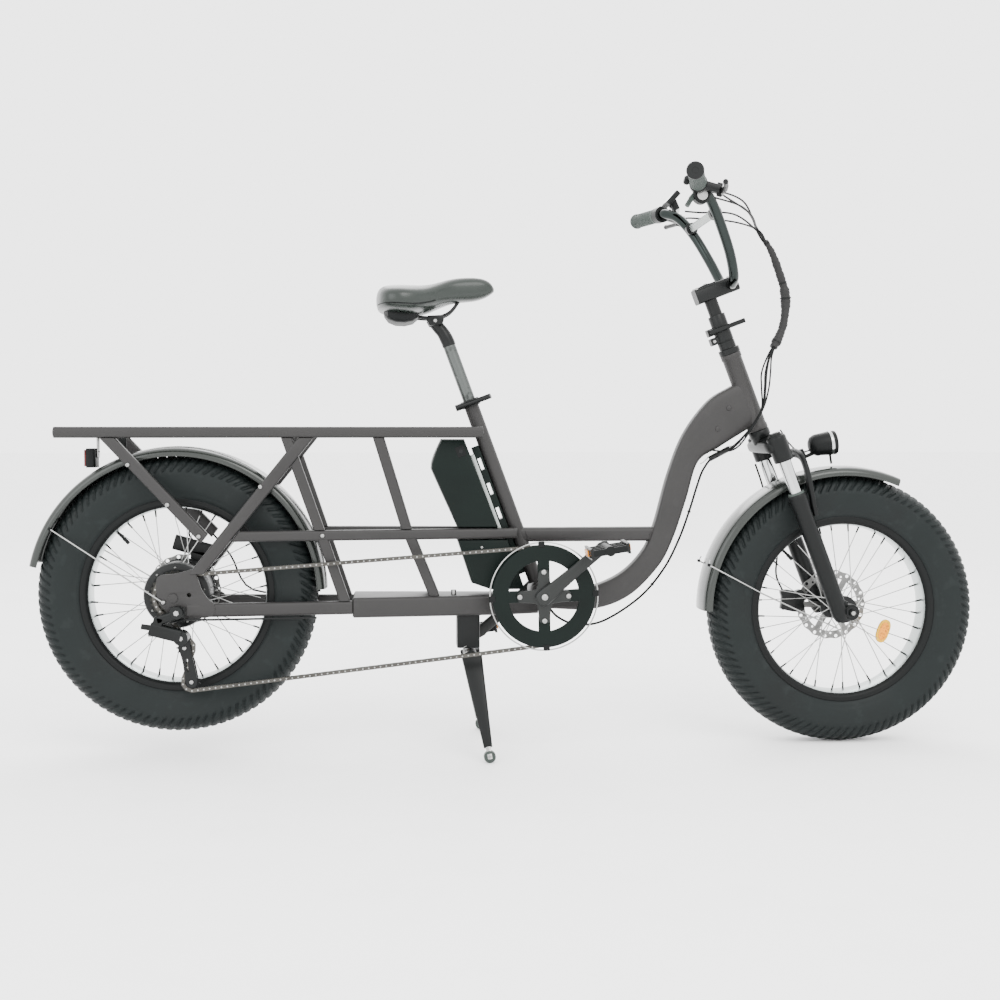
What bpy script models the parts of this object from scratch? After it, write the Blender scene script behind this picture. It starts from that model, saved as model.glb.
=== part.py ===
"""Longtail cargo bicycle with fat 20 inch tyres, modelled as separate working parts.

Metres, +Z up, +X forward, +Y to the rider's left. Lengths along the bicycle are measured
forward from the rear axle, and heights from the floor, by the function at().
"""
import math

import bmesh
import bpy
from mathutils import Matrix, Vector

# Driving dimensions
GAP = 0.0003                    # clearance between pieces that touch
REAR_AXLE_X = -0.724            # puts the origin at the middle of the overall length
WHEELBASE = 1.464
TYRE_RADIUS = 0.300
TYRE_HALF_WIDTH = 0.049
RIM_RADIUS = 0.2067
RIM_HALF_WIDTH = 0.036
REAR_AXLE_Z = 0.345             # the centre stand holds the rear tyre 45 mm off the floor
FRONT_AXLE_Z = TYRE_RADIUS
FENDER_RADIUS = 0.3165
FENDER_HALF_WIDTH = 0.052
RIM_INSIDE = 0.187
SPOKE_BAND = 0.0030
SPOKES = 36
WHEEL_STEPS = 32

STEER_TILT = math.radians(21.0)  # steering axis, leaning back from the vertical
STEER_FOOT_X = 1.4297            # where the steering axis meets the front axle's height
AXLE_LEAD = 0.0324               # front axle ahead of the steering axis
AXLE_RISE = -0.0124              # and along it
LEG_LEAD = 0.0105                # fork legs ahead of the steering axis
LEG_Y = 0.080
HEAD_BOTTOM = 0.4285
HEAD_TOP = 0.6084
STEM_HEIGHT = 0.752
BAR_LEAD = 0.050
BAR_RADIUS = 0.011

BB_X = 0.786
BB_Z = 0.343
SEAT_LEAN = 0.368                # seat tube, metres back for each metre up
SEAT_TOP_Z = 0.762
SEAT_TUBE_RADIUS = 0.016
CRANK_LENGTH = 0.165
CRANK_ANGLE = math.radians(40.0)
CRANK_Y = 0.112
PEDAL_IN_Y = 0.125
PEDAL_OUT_Y = 0.215
CHAINRING_RADIUS = 0.1064
CHAIN_FRONT_Y = -0.092
CHAIN_REAR_Y = -0.067

DECK_Z = 0.6946
DECK_Y = 0.075
DECK_REAR = -0.245
DECK_FRONT = 0.656
RAIL_HEIGHT = 0.0236
RAIL_WIDTH = 0.020
MID_Z = 0.474
STAY_Z = 0.3176
STAY_HEIGHT = 0.029
DROPOUT_Y = 0.088
DROPOUT_HALF = 0.004
LOWER_REAR = 0.3755
LOWER_TOP = 0.339
LOWER_BOTTOM = 0.295
STRUT_WIDTH = 0.022
STRUT_DEPTH = 0.018
LONG_STRUT_WIDTH = 0.026
WELD_DEPTH = 0.004               # how far a welded strut runs into the one it meets

STAND_X = 0.632
STAND_Z = 0.203
FOOT_X = 0.665
FOOT_Y = 0.163
FOOT_RADIUS = 0.0127

JOCKEY_UPPER = (0.020, 0.236)
JOCKEY_LOWER = (0.034, 0.163)
CAGE_PIVOT = (0.018, 0.262)

FRAME_GREY = (0.105, 0.100, 0.098)
BLACK = (0.012, 0.013, 0.013)
RUBBER = (0.018, 0.021, 0.021)
FENDER_GREEN = (0.060, 0.068, 0.064)
SILVER = (0.72, 0.72, 0.72)


# ---------------------------------------------------------------- scene, places, materials

def clear_scene():
    for item in list(bpy.data.objects):
        bpy.data.objects.remove(item, do_unlink=True)


def new_collection(name):
    collection = bpy.data.collections.new(name)
    bpy.context.scene.collection.children.link(collection)
    return collection


def at(x, y, z):
    """A point given by its distance ahead of the rear axle, its side and its height."""
    return Vector((x + REAR_AXLE_X, y, z))


def steer(x, y, z):
    """A point in the steering frame: ahead of the steering axis, to the side, and up it."""
    forward = Vector((math.cos(STEER_TILT), 0.0, math.sin(STEER_TILT)))
    up = Vector((-math.sin(STEER_TILT), 0.0, math.cos(STEER_TILT)))
    return at(STEER_FOOT_X, y, FRONT_AXLE_Z) + forward * x + up * z


def seat(distance, ahead=0.0, side=0.0):
    """A point on the seat tube's axis, this far up from the bottom bracket."""
    return at(BB_X, side, BB_Z) + SEAT_UP * distance + SEAT_FORWARD * ahead


def material(name, colour, roughness=0.5, metallic=0.0):
    made = bpy.data.materials.get(name)
    if made:
        return made
    made = bpy.data.materials.new(name)
    made.use_nodes = True
    shader = made.node_tree.nodes["Principled BSDF"]
    shader.inputs["Base Color"].default_value = (*colour, 1.0)
    shader.inputs["Roughness"].default_value = roughness
    shader.inputs["Metallic"].default_value = metallic
    return made


SEAT_UP = Vector((-SEAT_LEAN, 0.0, 1.0)).normalized()
SEAT_FORWARD = Vector((SEAT_UP.z, 0.0, -SEAT_UP.x))
STEER_UP = Vector((-math.sin(STEER_TILT), 0.0, math.cos(STEER_TILT)))
STEER_FORWARD = Vector((math.cos(STEER_TILT), 0.0, math.sin(STEER_TILT)))
ACROSS = Vector((0.0, 1.0, 0.0))

clear_scene()
BIKE = new_collection("cargo_bicycle")
MATERIALS = {
    "frame_paint": material("frame_paint", FRAME_GREY, 0.45, 0.3),
    "black_metal": material("black_metal", BLACK, 0.35, 0.5),
    "fork_steel": material("fork_steel", BLACK, 0.35, 0.5),
    "black_plastic": material("black_plastic", BLACK, 0.5),
    "tyre_rubber": material("tyre_rubber", RUBBER, 0.75),
    "fender_gloss": material("fender_gloss", FENDER_GREEN, 0.25),
    "silver": material("silver", SILVER, 0.3, 1.0),
    "saddle_vinyl": material("saddle_vinyl", (0.03, 0.034, 0.033), 0.4),
    "grip_rubber": material("grip_rubber", (0.035, 0.038, 0.037), 0.7),
}


# ---------------------------------------------------------------- shape helpers

def place(name, mesh, slot):
    """Put a mesh in the collection as a named object with its material."""
    item = bpy.data.objects.new(name, mesh)
    BIKE.objects.link(item)
    if not mesh.materials:
        mesh.materials.append(MATERIALS[slot])
    return item


def from_bmesh(name, shape, slot):
    bmesh.ops.recalc_face_normals(shape, faces=shape.faces)
    mesh = bpy.data.meshes.new(name)
    shape.to_mesh(mesh)
    shape.free()
    return place(name, mesh, slot)


def smooth(item, angle=35.0):
    item.data.shade_smooth()
    item.data.set_sharp_from_angle(angle=math.radians(angle))
    return item


def turned(name, profile, base, axis, slot, steps=24, closed=False, sweep=360.0):
    """A profile of (radius, height) points, outer side downwards, turned about an axis."""
    mesh = bpy.data.meshes.new(name)
    points = [(radius, 0.0, height) for radius, height in profile]
    edges = [(i, i + 1) for i in range(len(points) - 1)]
    if closed:
        edges.append((len(points) - 1, 0))
    mesh.from_pydata(points, edges, [])
    item = place(name, mesh, slot)
    item.location = base
    item.rotation_mode = "QUATERNION"
    item.rotation_quaternion = Vector((0.0, 0.0, 1.0)).rotation_difference(axis)
    screw = item.modifiers.new("turn", "SCREW")
    screw.angle = math.radians(sweep)
    screw.steps = steps
    screw.render_steps = steps
    screw.use_merge_vertices = True
    screw.merge_threshold = 0.00001
    screw.use_smooth_shade = True
    return item


def rod(name, start, end, radius, slot, steps=16):
    """A plain round solid from start to end."""
    length = (end - start).length
    profile = [(0.0, length), (radius, length), (radius, 0.0), (0.0, 0.0)]
    return turned(name, profile, start, (end - start).normalized(), slot, steps)


def sleeve(name, start, end, outer, inner, slot, steps=24):
    """A tube with an open bore from start to end."""
    length = (end - start).length
    profile = [(outer, length), (outer, 0.0), (inner, 0.0), (inner, length)]
    return turned(name, profile, start, (end - start).normalized(), slot, steps, closed=True)


def box(name, low, high, slot, bevel=0.0):
    """A box between two corners, with its edges rounded."""
    shape = bmesh.new()
    bmesh.ops.create_cube(shape, size=1.0)
    size = high - low
    middle = (high + low) / 2.0
    for vertex in shape.verts:
        vertex.co = Vector(a * b + c for a, b, c in zip(vertex.co, size, middle))
    if bevel:
        bmesh.ops.bevel(shape, geom=list(shape.edges), offset=bevel, segments=1,
                        affect="EDGES", profile=0.5)
    return from_bmesh(name, shape, slot)


def bar(name, start, end, width, depth, slot, start_cut=None, end_cut=None, taper=1.0,
        corner=0.003, side=ACROSS):
    """A rectangular tube from start to end. depth is measured along side, width square to it,
    and each end is cut square unless a cutting plane's normal is given."""
    along = (end - start).normalized()
    upright = along.cross(side).normalized()
    across = along.cross(upright)
    shape = bmesh.new()
    bmesh.ops.create_cube(shape, size=1.0)
    cuts = (start_cut or along, end_cut or along)
    for vertex in shape.verts:
        at_end = vertex.co.z > 0
        scale = taper if at_end else 1.0
        corner_point = start + upright * (vertex.co.x * width * scale)
        corner_point += across * (vertex.co.y * depth * scale)
        origin = end if at_end else start
        normal = cuts[1] if at_end else cuts[0]
        reach = (origin - corner_point).dot(normal) / along.dot(normal)
        vertex.co = corner_point + along * reach
    long_edges = [edge for edge in shape.edges
                  if abs((edge.verts[1].co - edge.verts[0].co).normalized().dot(along)) > 0.97]
    bmesh.ops.bevel(shape, geom=long_edges, offset=corner, segments=2, affect="EDGES", profile=0.5)
    return from_bmesh(name, shape, slot)


def spline(points, steps):
    """A smooth curve through the points, sampled at the same number of steps in each span."""
    ends = [points[0] * 2.0 - points[1], *points, points[-1] * 2.0 - points[-2]]
    made = []
    for i in range(1, len(ends) - 2):
        a, b, c, d = ends[i - 1], ends[i], ends[i + 1], ends[i + 2]
        for step in range(steps):
            t = step / steps
            made.append((b * 2.0 + (c - a) * t + (a * 2.0 - b * 5.0 + c * 4.0 - d) * t * t
                         + (b * 3.0 - a - c * 3.0 + d) * t * t * t) / 2.0)
    made.append(points[-1].copy())
    return made


def solid_mesh(item):
    """Turn an object with its modifiers, or a curve, into one plain welded mesh object."""
    bpy.context.view_layer.update()
    graph = bpy.context.evaluated_depsgraph_get()
    mesh = bpy.data.meshes.new_from_object(item.evaluated_get(graph))
    mesh.transform(item.matrix_world)
    shape = bmesh.new()
    shape.from_mesh(mesh)
    bmesh.ops.remove_doubles(shape, verts=shape.verts, dist=0.00001)
    bmesh.ops.recalc_face_normals(shape, faces=shape.faces)
    shape.to_mesh(mesh)
    shape.free()
    name = item.name
    for slot in list(item.users_collection):
        slot.objects.unlink(item)
    item.name = name + "_source"
    bpy.data.objects.remove(item, do_unlink=True)
    made = bpy.data.objects.new(name, mesh)
    BIKE.objects.link(made)
    return made


def pipe(name, points, radius, slot, sides=2, widths=None, closed=False):
    """A round tube along a line of points, with closed ends."""
    curve = bpy.data.curves.new(name, "CURVE")
    curve.dimensions = "3D"
    curve.bevel_depth = radius
    curve.bevel_resolution = sides
    curve.use_fill_caps = not closed
    line = curve.splines.new("POLY")
    line.points.add(len(points) - 1)
    line.use_cyclic_u = closed
    for i, point in enumerate(points):
        line.points[i].co = (*point, 1.0)
        line.points[i].radius = widths[i] if widths else 1.0
    curve.materials.append(MATERIALS[slot])
    item = bpy.data.objects.new(name, curve)
    BIKE.objects.link(item)
    return item


def plate(name, outlines, middle_y, half_thickness, slot, corner=0.0):
    """A flat plate standing in the bicycle's plane: outlines of (x, z) points, holes last."""
    curve = bpy.data.curves.new(name, "CURVE")
    curve.dimensions = "2D"
    curve.fill_mode = "BOTH"
    curve.extrude = half_thickness - corner
    curve.bevel_depth = corner
    curve.offset = -corner
    curve.bevel_resolution = 0
    for outline in outlines:
        line = curve.splines.new("POLY")
        line.points.add(len(outline) - 1)
        line.use_cyclic_u = True
        for i, (x, z) in enumerate(outline):
            line.points[i].co = (x, z, 0.0, 1.0)
    curve.materials.append(MATERIALS[slot])
    item = bpy.data.objects.new(name, curve)
    BIKE.objects.link(item)
    item.matrix_world = Matrix.Translation((REAR_AXLE_X, middle_y, 0.0)) @ Matrix.Rotation(
        math.radians(90.0), 4, "X")
    return item


def combine(operation, item, others):
    """Join other solids to an item, or cut them from it, and leave one plain mesh."""
    made = solid_mesh(item)
    for other in others:
        tool = solid_mesh(other)
        change = made.modifiers.new("combine", "BOOLEAN")
        change.operation = operation
        change.solver = "EXACT"
        change.object = tool
        made = solid_mesh(made)
        bpy.data.objects.remove(tool, do_unlink=True)
    return made


def join(item, others):
    return combine("UNION", item, others)


def cut(item, others):
    return combine("DIFFERENCE", item, others)


def pivot(item, point):
    """Move the object's origin to a point on its joint's axis."""
    item = solid_mesh(item) if item.type == "CURVE" or item.modifiers else item
    item.data.transform(Matrix.Translation(-point) @ item.matrix_world)
    item.matrix_world = Matrix.Translation(point)
    return item


def mirrored(side, point):
    return Vector((point.x, point.y * side, point.z))


# ---------------------------------------------------------------- frame

def seat_x(z):
    return BB_X - SEAT_LEAN * (z - BB_Z)


def mid_rail_y(x):
    """The middle rails draw together from the long struts to the seat tube."""
    return 0.083 - (0.083 - 0.0265) * (x - 0.130) / (0.735 - 0.130)


def chainstay_y(x):
    return DROPOUT_Y - (DROPOUT_Y - 0.058) * x / LOWER_REAR


def head_tube():
    sleeve("head_tube", steer(0, 0, HEAD_BOTTOM), steer(0, 0, HEAD_TOP), 0.0215, 0.0168,
           "frame_paint", 28)


def main_tube():
    """The swan-neck tube that sweeps from the head tube down and back to the bottom bracket."""
    upper = [(1.222, 0.800), (1.158, 0.762), (1.105, 0.690), (1.070, 0.600), (1.040, 0.490),
             (1.015, 0.432), (0.962, 0.380), (0.880, 0.348), (0.800, 0.345)]
    lower = [(0.800, 0.305), (0.905, 0.303), (0.985, 0.332), (1.048, 0.396), (1.085, 0.468),
             (1.118, 0.560), (1.136, 0.622), (1.180, 0.656), (1.236, 0.694), (1.262, 0.722)]
    top = spline([Vector((x, 0, z)) for x, z in upper], 3)
    bottom = spline([Vector((x, 0, z)) for x, z in lower], 3)
    outline = [(p.x, p.z) for p in top + bottom]
    body = plate("main_tube", [outline], 0.0, 0.0205, "frame_paint", corner=0.008)
    head_bore = rod("head_bore", steer(0, 0, HEAD_BOTTOM - 0.05), steer(0, 0, HEAD_TOP + 0.05),
                    0.0215 + GAP, "frame_paint", 28)
    bracket_bore = rod("bracket_bore", at(BB_X, -0.08, BB_Z), at(BB_X, 0.08, BB_Z), 0.0235,
                       "frame_paint", 24)
    cut(body, [head_bore, bracket_bore])


def mid_tube():
    height = 0.469
    body = bar("mid_tube", at(seat_x(height) + 0.004, 0, height), at(1.0310, 0, height), 0.0315, 0.030,
               "frame_paint", end_cut=Vector((0.93, 0.0, -0.37)), corner=0.005)
    seat_bore = rod("seat_bore", seat(0.05), seat(0.30), SEAT_TUBE_RADIUS + GAP, "frame_paint", 24)
    cut(body, [seat_bore])


def seat_tube():
    top = (SEAT_TOP_Z - BB_Z) / SEAT_UP.z
    sleeve("seat_tube", seat(0.0245), seat(top), SEAT_TUBE_RADIUS, 0.0139, "frame_paint")


def lower_tube():
    """The wide lower tube, hollow with a drain hole under it, and welded to it the bottom
    bracket shell and the stand's bracket."""
    shape = bmesh.new()
    bmesh.ops.create_cube(shape, size=1.0)
    for vertex in shape.verts:
        rear = vertex.co.x < 0
        half_width = 0.067 if rear else 0.034
        height = LOWER_TOP if vertex.co.z > 0 else LOWER_BOTTOM
        vertex.co = at(LOWER_REAR if rear else BB_X - 0.006, math.copysign(half_width, vertex.co.y),
                       height)
    bmesh.ops.bevel(shape, geom=list(shape.edges), offset=0.004, segments=1, affect="EDGES")
    body = from_bmesh("lower_tube", shape, "frame_paint")
    shell = rod("shell", at(BB_X, -0.050, BB_Z), at(BB_X, 0.050, BB_Z), 0.0225, "frame_paint", 24)
    bracket = box("bracket", at(0.602, -0.034, 0.222), at(0.652, 0.034, 0.300), "frame_paint", 0.003)
    bore = rod("bore", at(BB_X, -0.1, BB_Z), at(BB_X, 0.1, BB_Z), 0.0165, "frame_paint", 24)
    hollow = box("hollow", at(LOWER_REAR + 0.010, -0.030, LOWER_BOTTOM + 0.004),
                 at(BB_X - 0.045, 0.030, LOWER_TOP - 0.004), "frame_paint")
    drain = rod("drain", at(0.440, 0, LOWER_BOTTOM - 0.01), at(0.440, 0, LOWER_BOTTOM + 0.01), 0.005,
                "frame_paint", 8)
    cut(join(body, [shell, bracket]), [bore, hollow, drain])


def chainstay(side, name):
    """A stay with its dropout plate and axle nut. The left one also carries the rear caliper."""
    stay = bar(name, at(0.028, side * chainstay_y(0.028), STAY_Z),
               at(LOWER_REAR - GAP, side * chainstay_y(LOWER_REAR), STAY_Z), STAY_HEIGHT,
               STRUT_DEPTH, "frame_paint", end_cut=Vector((1.0, 0.0, 0.0)))
    outline = [(-0.036, 0.372), (-0.026, 0.382), (0.020, 0.386), (0.052, 0.394), (0.062, 0.392),
               (0.090, 0.335), (0.075, 0.306), (0.020, 0.302), (-0.004, 0.300), (-0.024, 0.318),
               (-0.038, 0.345)]
    dropout = plate("dropout", [outline], side * DROPOUT_Y, DROPOUT_HALF, "frame_paint")
    nut = rod("nut", at(0, side * (DROPOUT_Y - 0.001), REAR_AXLE_Z),
              at(0, side * (DROPOUT_Y + 0.016), REAR_AXLE_Z), 0.0105, "frame_paint", 6)
    parts = [dropout, nut]
    if side > 0:
        body = box("caliper", at(0.012, 0.0605, 0.386), at(0.062, 0.0730, 0.446), "black_metal", 0.003)
        slot = rod("slot", at(0, 0.0640, REAR_AXLE_Z), at(0, 0.0700, REAR_AXLE_Z), 0.0830,
                   "black_metal", 32)
        arm = box("arm", at(0.024, 0.0715, 0.368), at(0.056, 0.0860, 0.3945), "frame_paint", 0.001)
        parts += [cut(body, [slot]), arm]
    join(stay, parts)


def deck_frame():
    """The cargo deck: two long rails welded to four crossbars."""
    rails = [bar("deck_frame" if side < 0 else "rail", at(DECK_REAR, side * DECK_Y, DECK_Z),
                 at(DECK_FRONT, side * DECK_Y, DECK_Z), RAIL_HEIGHT, RAIL_WIDTH, "frame_paint")
             for side in (-1, 1)]
    thick = 0.009
    crossbars = [box("crossbar", at(x - half, -DECK_Y, DECK_Z - thick),
                     at(x + half, DECK_Y, DECK_Z + thick), "frame_paint", 0.002)
                 for x, half in ((-0.232, 0.010), (-0.160, 0.009), (0.230, 0.010), (0.6276, 0.0075))]
    join(rails[0], [rails[1], *crossbars])


def mid_rail(side, name):
    """A middle rail with the lower halves of the brace and front struts welded under it."""
    rear = at(0.131, side * mid_rail_y(0.131), MID_Z)
    front = at(0.733, side * mid_rail_y(0.733), MID_Z)
    rail = bar(name, rear, front, RAIL_HEIGHT - 0.0010, RAIL_WIDTH, "frame_paint",
               start_cut=Vector((0.786, 0.0, -0.618)))
    low_brace = bar("low_brace", at(0.3110, side * mid_rail_y(0.311), MID_Z),
                    at(0.3590, side * 0.0590, STAY_Z + STAY_HEIGHT / 2 + GAP), STRUT_WIDTH,
                    STRUT_DEPTH, "frame_paint", end_cut=Vector((0.0, 0.0, 1.0)))
    low_front = bar("low_front", at(0.4975, side * mid_rail_y(0.4975), MID_Z),
                    at(0.5520, side * 0.0370, LOWER_TOP + GAP), STRUT_WIDTH, STRUT_DEPTH,
                    "frame_paint", end_cut=Vector((0.0, 0.0, 1.0)))
    join(rail, [low_brace, low_front])


def struts(side, word):
    """The upper struts of one side. The brace crosses the long strut and is welded to it, so
    the two are one piece: a stub above the crossing and the rest of the brace below."""
    under_deck = DECK_Z - RAIL_HEIGHT / 2 - GAP
    above_mid = MID_Z + RAIL_HEIGHT / 2 + GAP
    level = Vector((0.0, 0.0, 1.0))
    top = at(0.2790, side * DECK_Y, under_deck)
    foot = at(0.0480, side * 0.0845, 0.3950)
    long_strut = bar("long_strut_" + word, top, foot, LONG_STRUT_WIDTH, STRUT_DEPTH, "frame_paint",
                     start_cut=level, end_cut=level)
    brace_top = at(0.2385, side * DECK_Y, under_deck)
    stub = bar("stub", brace_top, at(0.2520, side * 0.0755, 0.6440), STRUT_WIDTH, STRUT_DEPTH,
               "frame_paint", start_cut=level)
    face = Vector((top.z - foot.z, 0.0, foot.x - top.x)).normalized()
    brace_foot = at(0.3060, side * mid_rail_y(0.306), above_mid)
    brace_way = brace_foot - brace_top
    reach = (LONG_STRUT_WIDTH / 2 - WELD_DEPTH - (brace_top - top).dot(face)) / brace_way.dot(face)
    brace = bar("brace", brace_top + brace_way * reach, brace_foot, STRUT_WIDTH, STRUT_DEPTH,
                "frame_paint", start_cut=face, end_cut=level)
    join(long_strut, [stub, brace])
    bar("rear_strut_" + word, at(-0.1345, side * DECK_Y, under_deck), at(0.0655, side * 0.0828, 0.4700),
        0.024, STRUT_DEPTH, "frame_paint", start_cut=level,
        end_cut=Vector((0.7830, 0.0, -0.6220)))
    bar("front_strut_" + word, at(0.4325, side * DECK_Y, under_deck),
        at(0.4920, side * mid_rail_y(0.492), above_mid), STRUT_WIDTH, STRUT_DEPTH, "frame_paint",
        start_cut=level, end_cut=level)


def seat_collar():
    base = (SEAT_TOP_Z - BB_Z) / SEAT_UP.z
    ring = sleeve("seat_collar", seat(base - 0.012), seat(base + 0.004), 0.0210,
                  SEAT_TUBE_RADIUS + GAP, "black_metal")
    ears = bar("ears", seat(base - 0.004, -0.034), seat(base - 0.004, -0.0185), 0.014, 0.022,
               "black_metal", corner=0.002)
    join(ring, [ears])
    lever = bar("seat_lever", seat(base - 0.004, -0.030, -0.0180), seat(base - 0.004, 0.044, -0.0460),
                0.009, 0.008, "black_metal", taper=0.8, corner=0.002)
    pivot(lever, seat(base - 0.004, -0.030, -0.0180))


def battery():
    """The battery behind the seat tube, on a slotted base with the controller box below."""
    outline = [(0.568, 0.6800), (0.5455, 0.6200), (0.6030, 0.4875), (0.6915, 0.4875), (0.6175, 0.6800)]
    case = plate("battery_case", [outline], 0.0, 0.0450, "black_plastic", corner=0.005)
    pivot(case, seat(0.2600, -0.0340))
    base = seat_plate("battery_base", [(0.052, -0.0320), (0.350, -0.0320), (0.350, -0.0165),
                                       (0.052, -0.0165)], 0.0160)
    slots = [seat_plate("slot", [(a, -0.0285), (a + 0.026, -0.0285), (a + 0.026, -0.0215),
                                 (a, -0.0215)], 0.0300) for a in (0.205, 0.255, 0.305)]
    box_outline = [(0.6030, 0.4600), (0.6340, 0.3660), (0.6760, 0.3515), (0.7500, 0.3515),
                   (0.7120, 0.4600)]
    controller = plate("controller", [box_outline], 0.0, 0.0400, "black_plastic", corner=0.003)
    cut(join(base, [controller]), slots)


def seat_plate(name, outline, half_width):
    """A block standing along the seat tube: points of (distance up it, distance ahead of it)."""
    points = [seat(up, ahead) for up, ahead in outline]
    return plate(name, [[(p.x - REAR_AXLE_X, p.z) for p in points]], 0.0, half_width, "black_plastic")


def fender(name, centre, radius, start, sweep, slot, steps):
    """A curved mudguard: its cross-section swept round the wheel and given a thickness."""
    half = FENDER_HALF_WIDTH
    section = [(-half, -0.016), (-half * 0.93, -0.004), (-half * 0.5, 0.0018), (0.0, 0.0035),
               (half * 0.5, 0.0018), (half * 0.93, -0.004), (half, -0.016)]
    shape = bmesh.new()
    turn = math.radians(start)
    spoke = Vector((math.cos(turn), 0.0, math.sin(turn)))
    line = [shape.verts.new(centre + spoke * (radius + rise) + ACROSS * y) for y, rise in section]
    edges = [shape.edges.new(pair) for pair in zip(line, line[1:])]
    bmesh.ops.spin(shape, geom=line + edges, cent=centre, axis=-ACROSS, angle=math.radians(sweep),
                   steps=steps, use_duplicate=False)
    item = from_bmesh(name, shape, slot)
    wall = item.modifiers.new("wall", "SOLIDIFY")
    wall.thickness = 0.002
    wall.offset = 0.0
    return smooth(item)


def rear_light():
    body = box("rear_light", at(-0.196, -0.024, 0.618), at(-0.172, 0.024, 0.660), "black_plastic", 0.004)
    arm = box("arm", at(-0.178, -0.008, 0.645), at(-0.162, 0.008, DECK_Z - 0.0093), "black_plastic")
    join(body, [arm])


# ---------------------------------------------------------------- wheels

def tyre(name, centre):
    """An open casing: the outside from bead to bead, then back along the inside."""
    w = TYRE_HALF_WIDTH
    wall = 0.004
    outer = [(0.2070, 0.0355), (0.2360, 0.93 * w), (0.2620, w), (0.2850, 0.83 * w), (0.2960, 0.50 * w),
             (TYRE_RADIUS, 0.0)]
    outer += [(radius, -height) for radius, height in reversed(outer[:-1])]
    inner = [(0.2075, 0.0315), (0.2400, 0.93 * w - wall), (0.2780, 0.75 * w), (0.2930, 0.0)]
    inner += [(radius, -height) for radius, height in reversed(inner[:-1])]
    profile = outer + list(reversed(inner))
    item = turned(name, profile, centre, ACROSS, "tyre_rubber", WHEEL_STEPS, closed=True)
    pivot(item, centre)


def rim(name, centre):
    """A rim: a ring open towards the tyre."""
    w = RIM_HALF_WIDTH
    profile = [(RIM_RADIUS, w), (0.1935, w - 0.006), (0.1935, 0.006 - w), (RIM_RADIUS, -w),
               (0.197, -w), (RIM_INSIDE, -0.6 * w), (RIM_INSIDE, 0.6 * w), (0.197, w)]
    pivot(turned(name, profile, centre, ACROSS, "silver", WHEEL_STEPS, closed=True), centre)


def spokes(name, centre, flange_radius, flange_y):
    """The spokes of one wheel, from two hub flanges to a thin band under the rim."""
    outside = RIM_INSIDE - GAP
    inside = outside - SPOKE_BAND
    half = 0.015
    band = turned(name, [(outside, half), (inside, half), (inside, -half), (outside, -half)], centre,
                  ACROSS, "silver", WHEEL_STEPS, closed=True)
    shape = bmesh.new()
    for i in range(SPOKES):
        angle = 2.0 * math.pi * (i + 0.5) / SPOKES
        out = Vector((math.cos(angle), 0.0, math.sin(angle)))
        side = 1 if i % 2 else -1
        start = centre + out * (flange_radius + GAP) + ACROSS * (flange_y * side)
        end = centre + out * (outside - 0.3 * SPOKE_BAND) * math.cos(math.pi / WHEEL_STEPS)
        end += ACROSS * (0.010 * side)
        turn = Vector((0, 0, 1)).rotation_difference((end - start).normalized()).to_matrix().to_4x4()
        bmesh.ops.create_cone(shape, cap_ends=True, segments=3, radius1=0.0014, radius2=0.0014,
                              depth=(end - start).length,
                              matrix=Matrix.Translation((start + end) / 2) @ turn)
    pivot(join(band, [from_bmesh("spokes", shape, "silver")]), centre)


def front_hub(centre):
    profile = [(0.0, 0.0650), (0.0065, 0.0650), (0.0080, 0.0560), (0.080, 0.0550), (0.080, 0.0530),
               (0.022, 0.0520), (0.022, 0.0400), (0.030, 0.0400), (0.030, 0.0360), (0.018, 0.0340),
               (0.018, -0.034), (0.030, -0.0360), (0.030, -0.0400), (0.016, -0.0420), (0.0065, -0.0600),
               (0.0065, -0.0650), (0.0, -0.0650)]
    pivot(turned("front_hub", profile, centre, ACROSS, "black_metal", 24), centre)


def hub_motor(centre):
    profile = [(0.0, 0.0837), (0.008, 0.0837), (0.008, 0.0700), (0.030, 0.0690), (0.080, 0.0680),
               (0.080, 0.0660), (0.034, 0.0655), (0.040, 0.0600), (0.062, 0.0560), (0.0700, 0.0500),
               (0.0700, -0.0450), (0.062, -0.0500), (0.034, -0.0535), (0.0165, -0.0538),
               (0.0165, -0.0800), (0.008, -0.0805), (0.008, -0.0837), (0.0, -0.0837)]
    pivot(turned("hub_motor", profile, centre, ACROSS, "black_metal", 24), centre)


def cassette(centre):
    steps = [(0.060, -0.0545, -0.0572), (0.052, -0.0572, -0.0618), (0.0393, -0.0618, -0.0722),
             (0.032, -0.0722, -0.0765), (0.026, -0.0765, -0.0800)]
    profile = [(radius, edge) for radius, top, low in steps for edge in (top, low)]
    profile += [(0.0168, -0.0800), (0.0168, -0.0545)]
    pivot(turned("cassette", profile, centre, ACROSS, "silver", 24, closed=True), centre)


# ---------------------------------------------------------------- drive

def chain_y(x):
    """The chain runs straight over the sprocket and the chainring, and slants between them."""
    ring_rear = BB_X - CHAINRING_RADIUS
    share = min(max(x / ring_rear, 0.0), 1.0)
    return CHAIN_REAR_Y + (CHAIN_FRONT_Y - CHAIN_REAR_Y) * share


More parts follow.
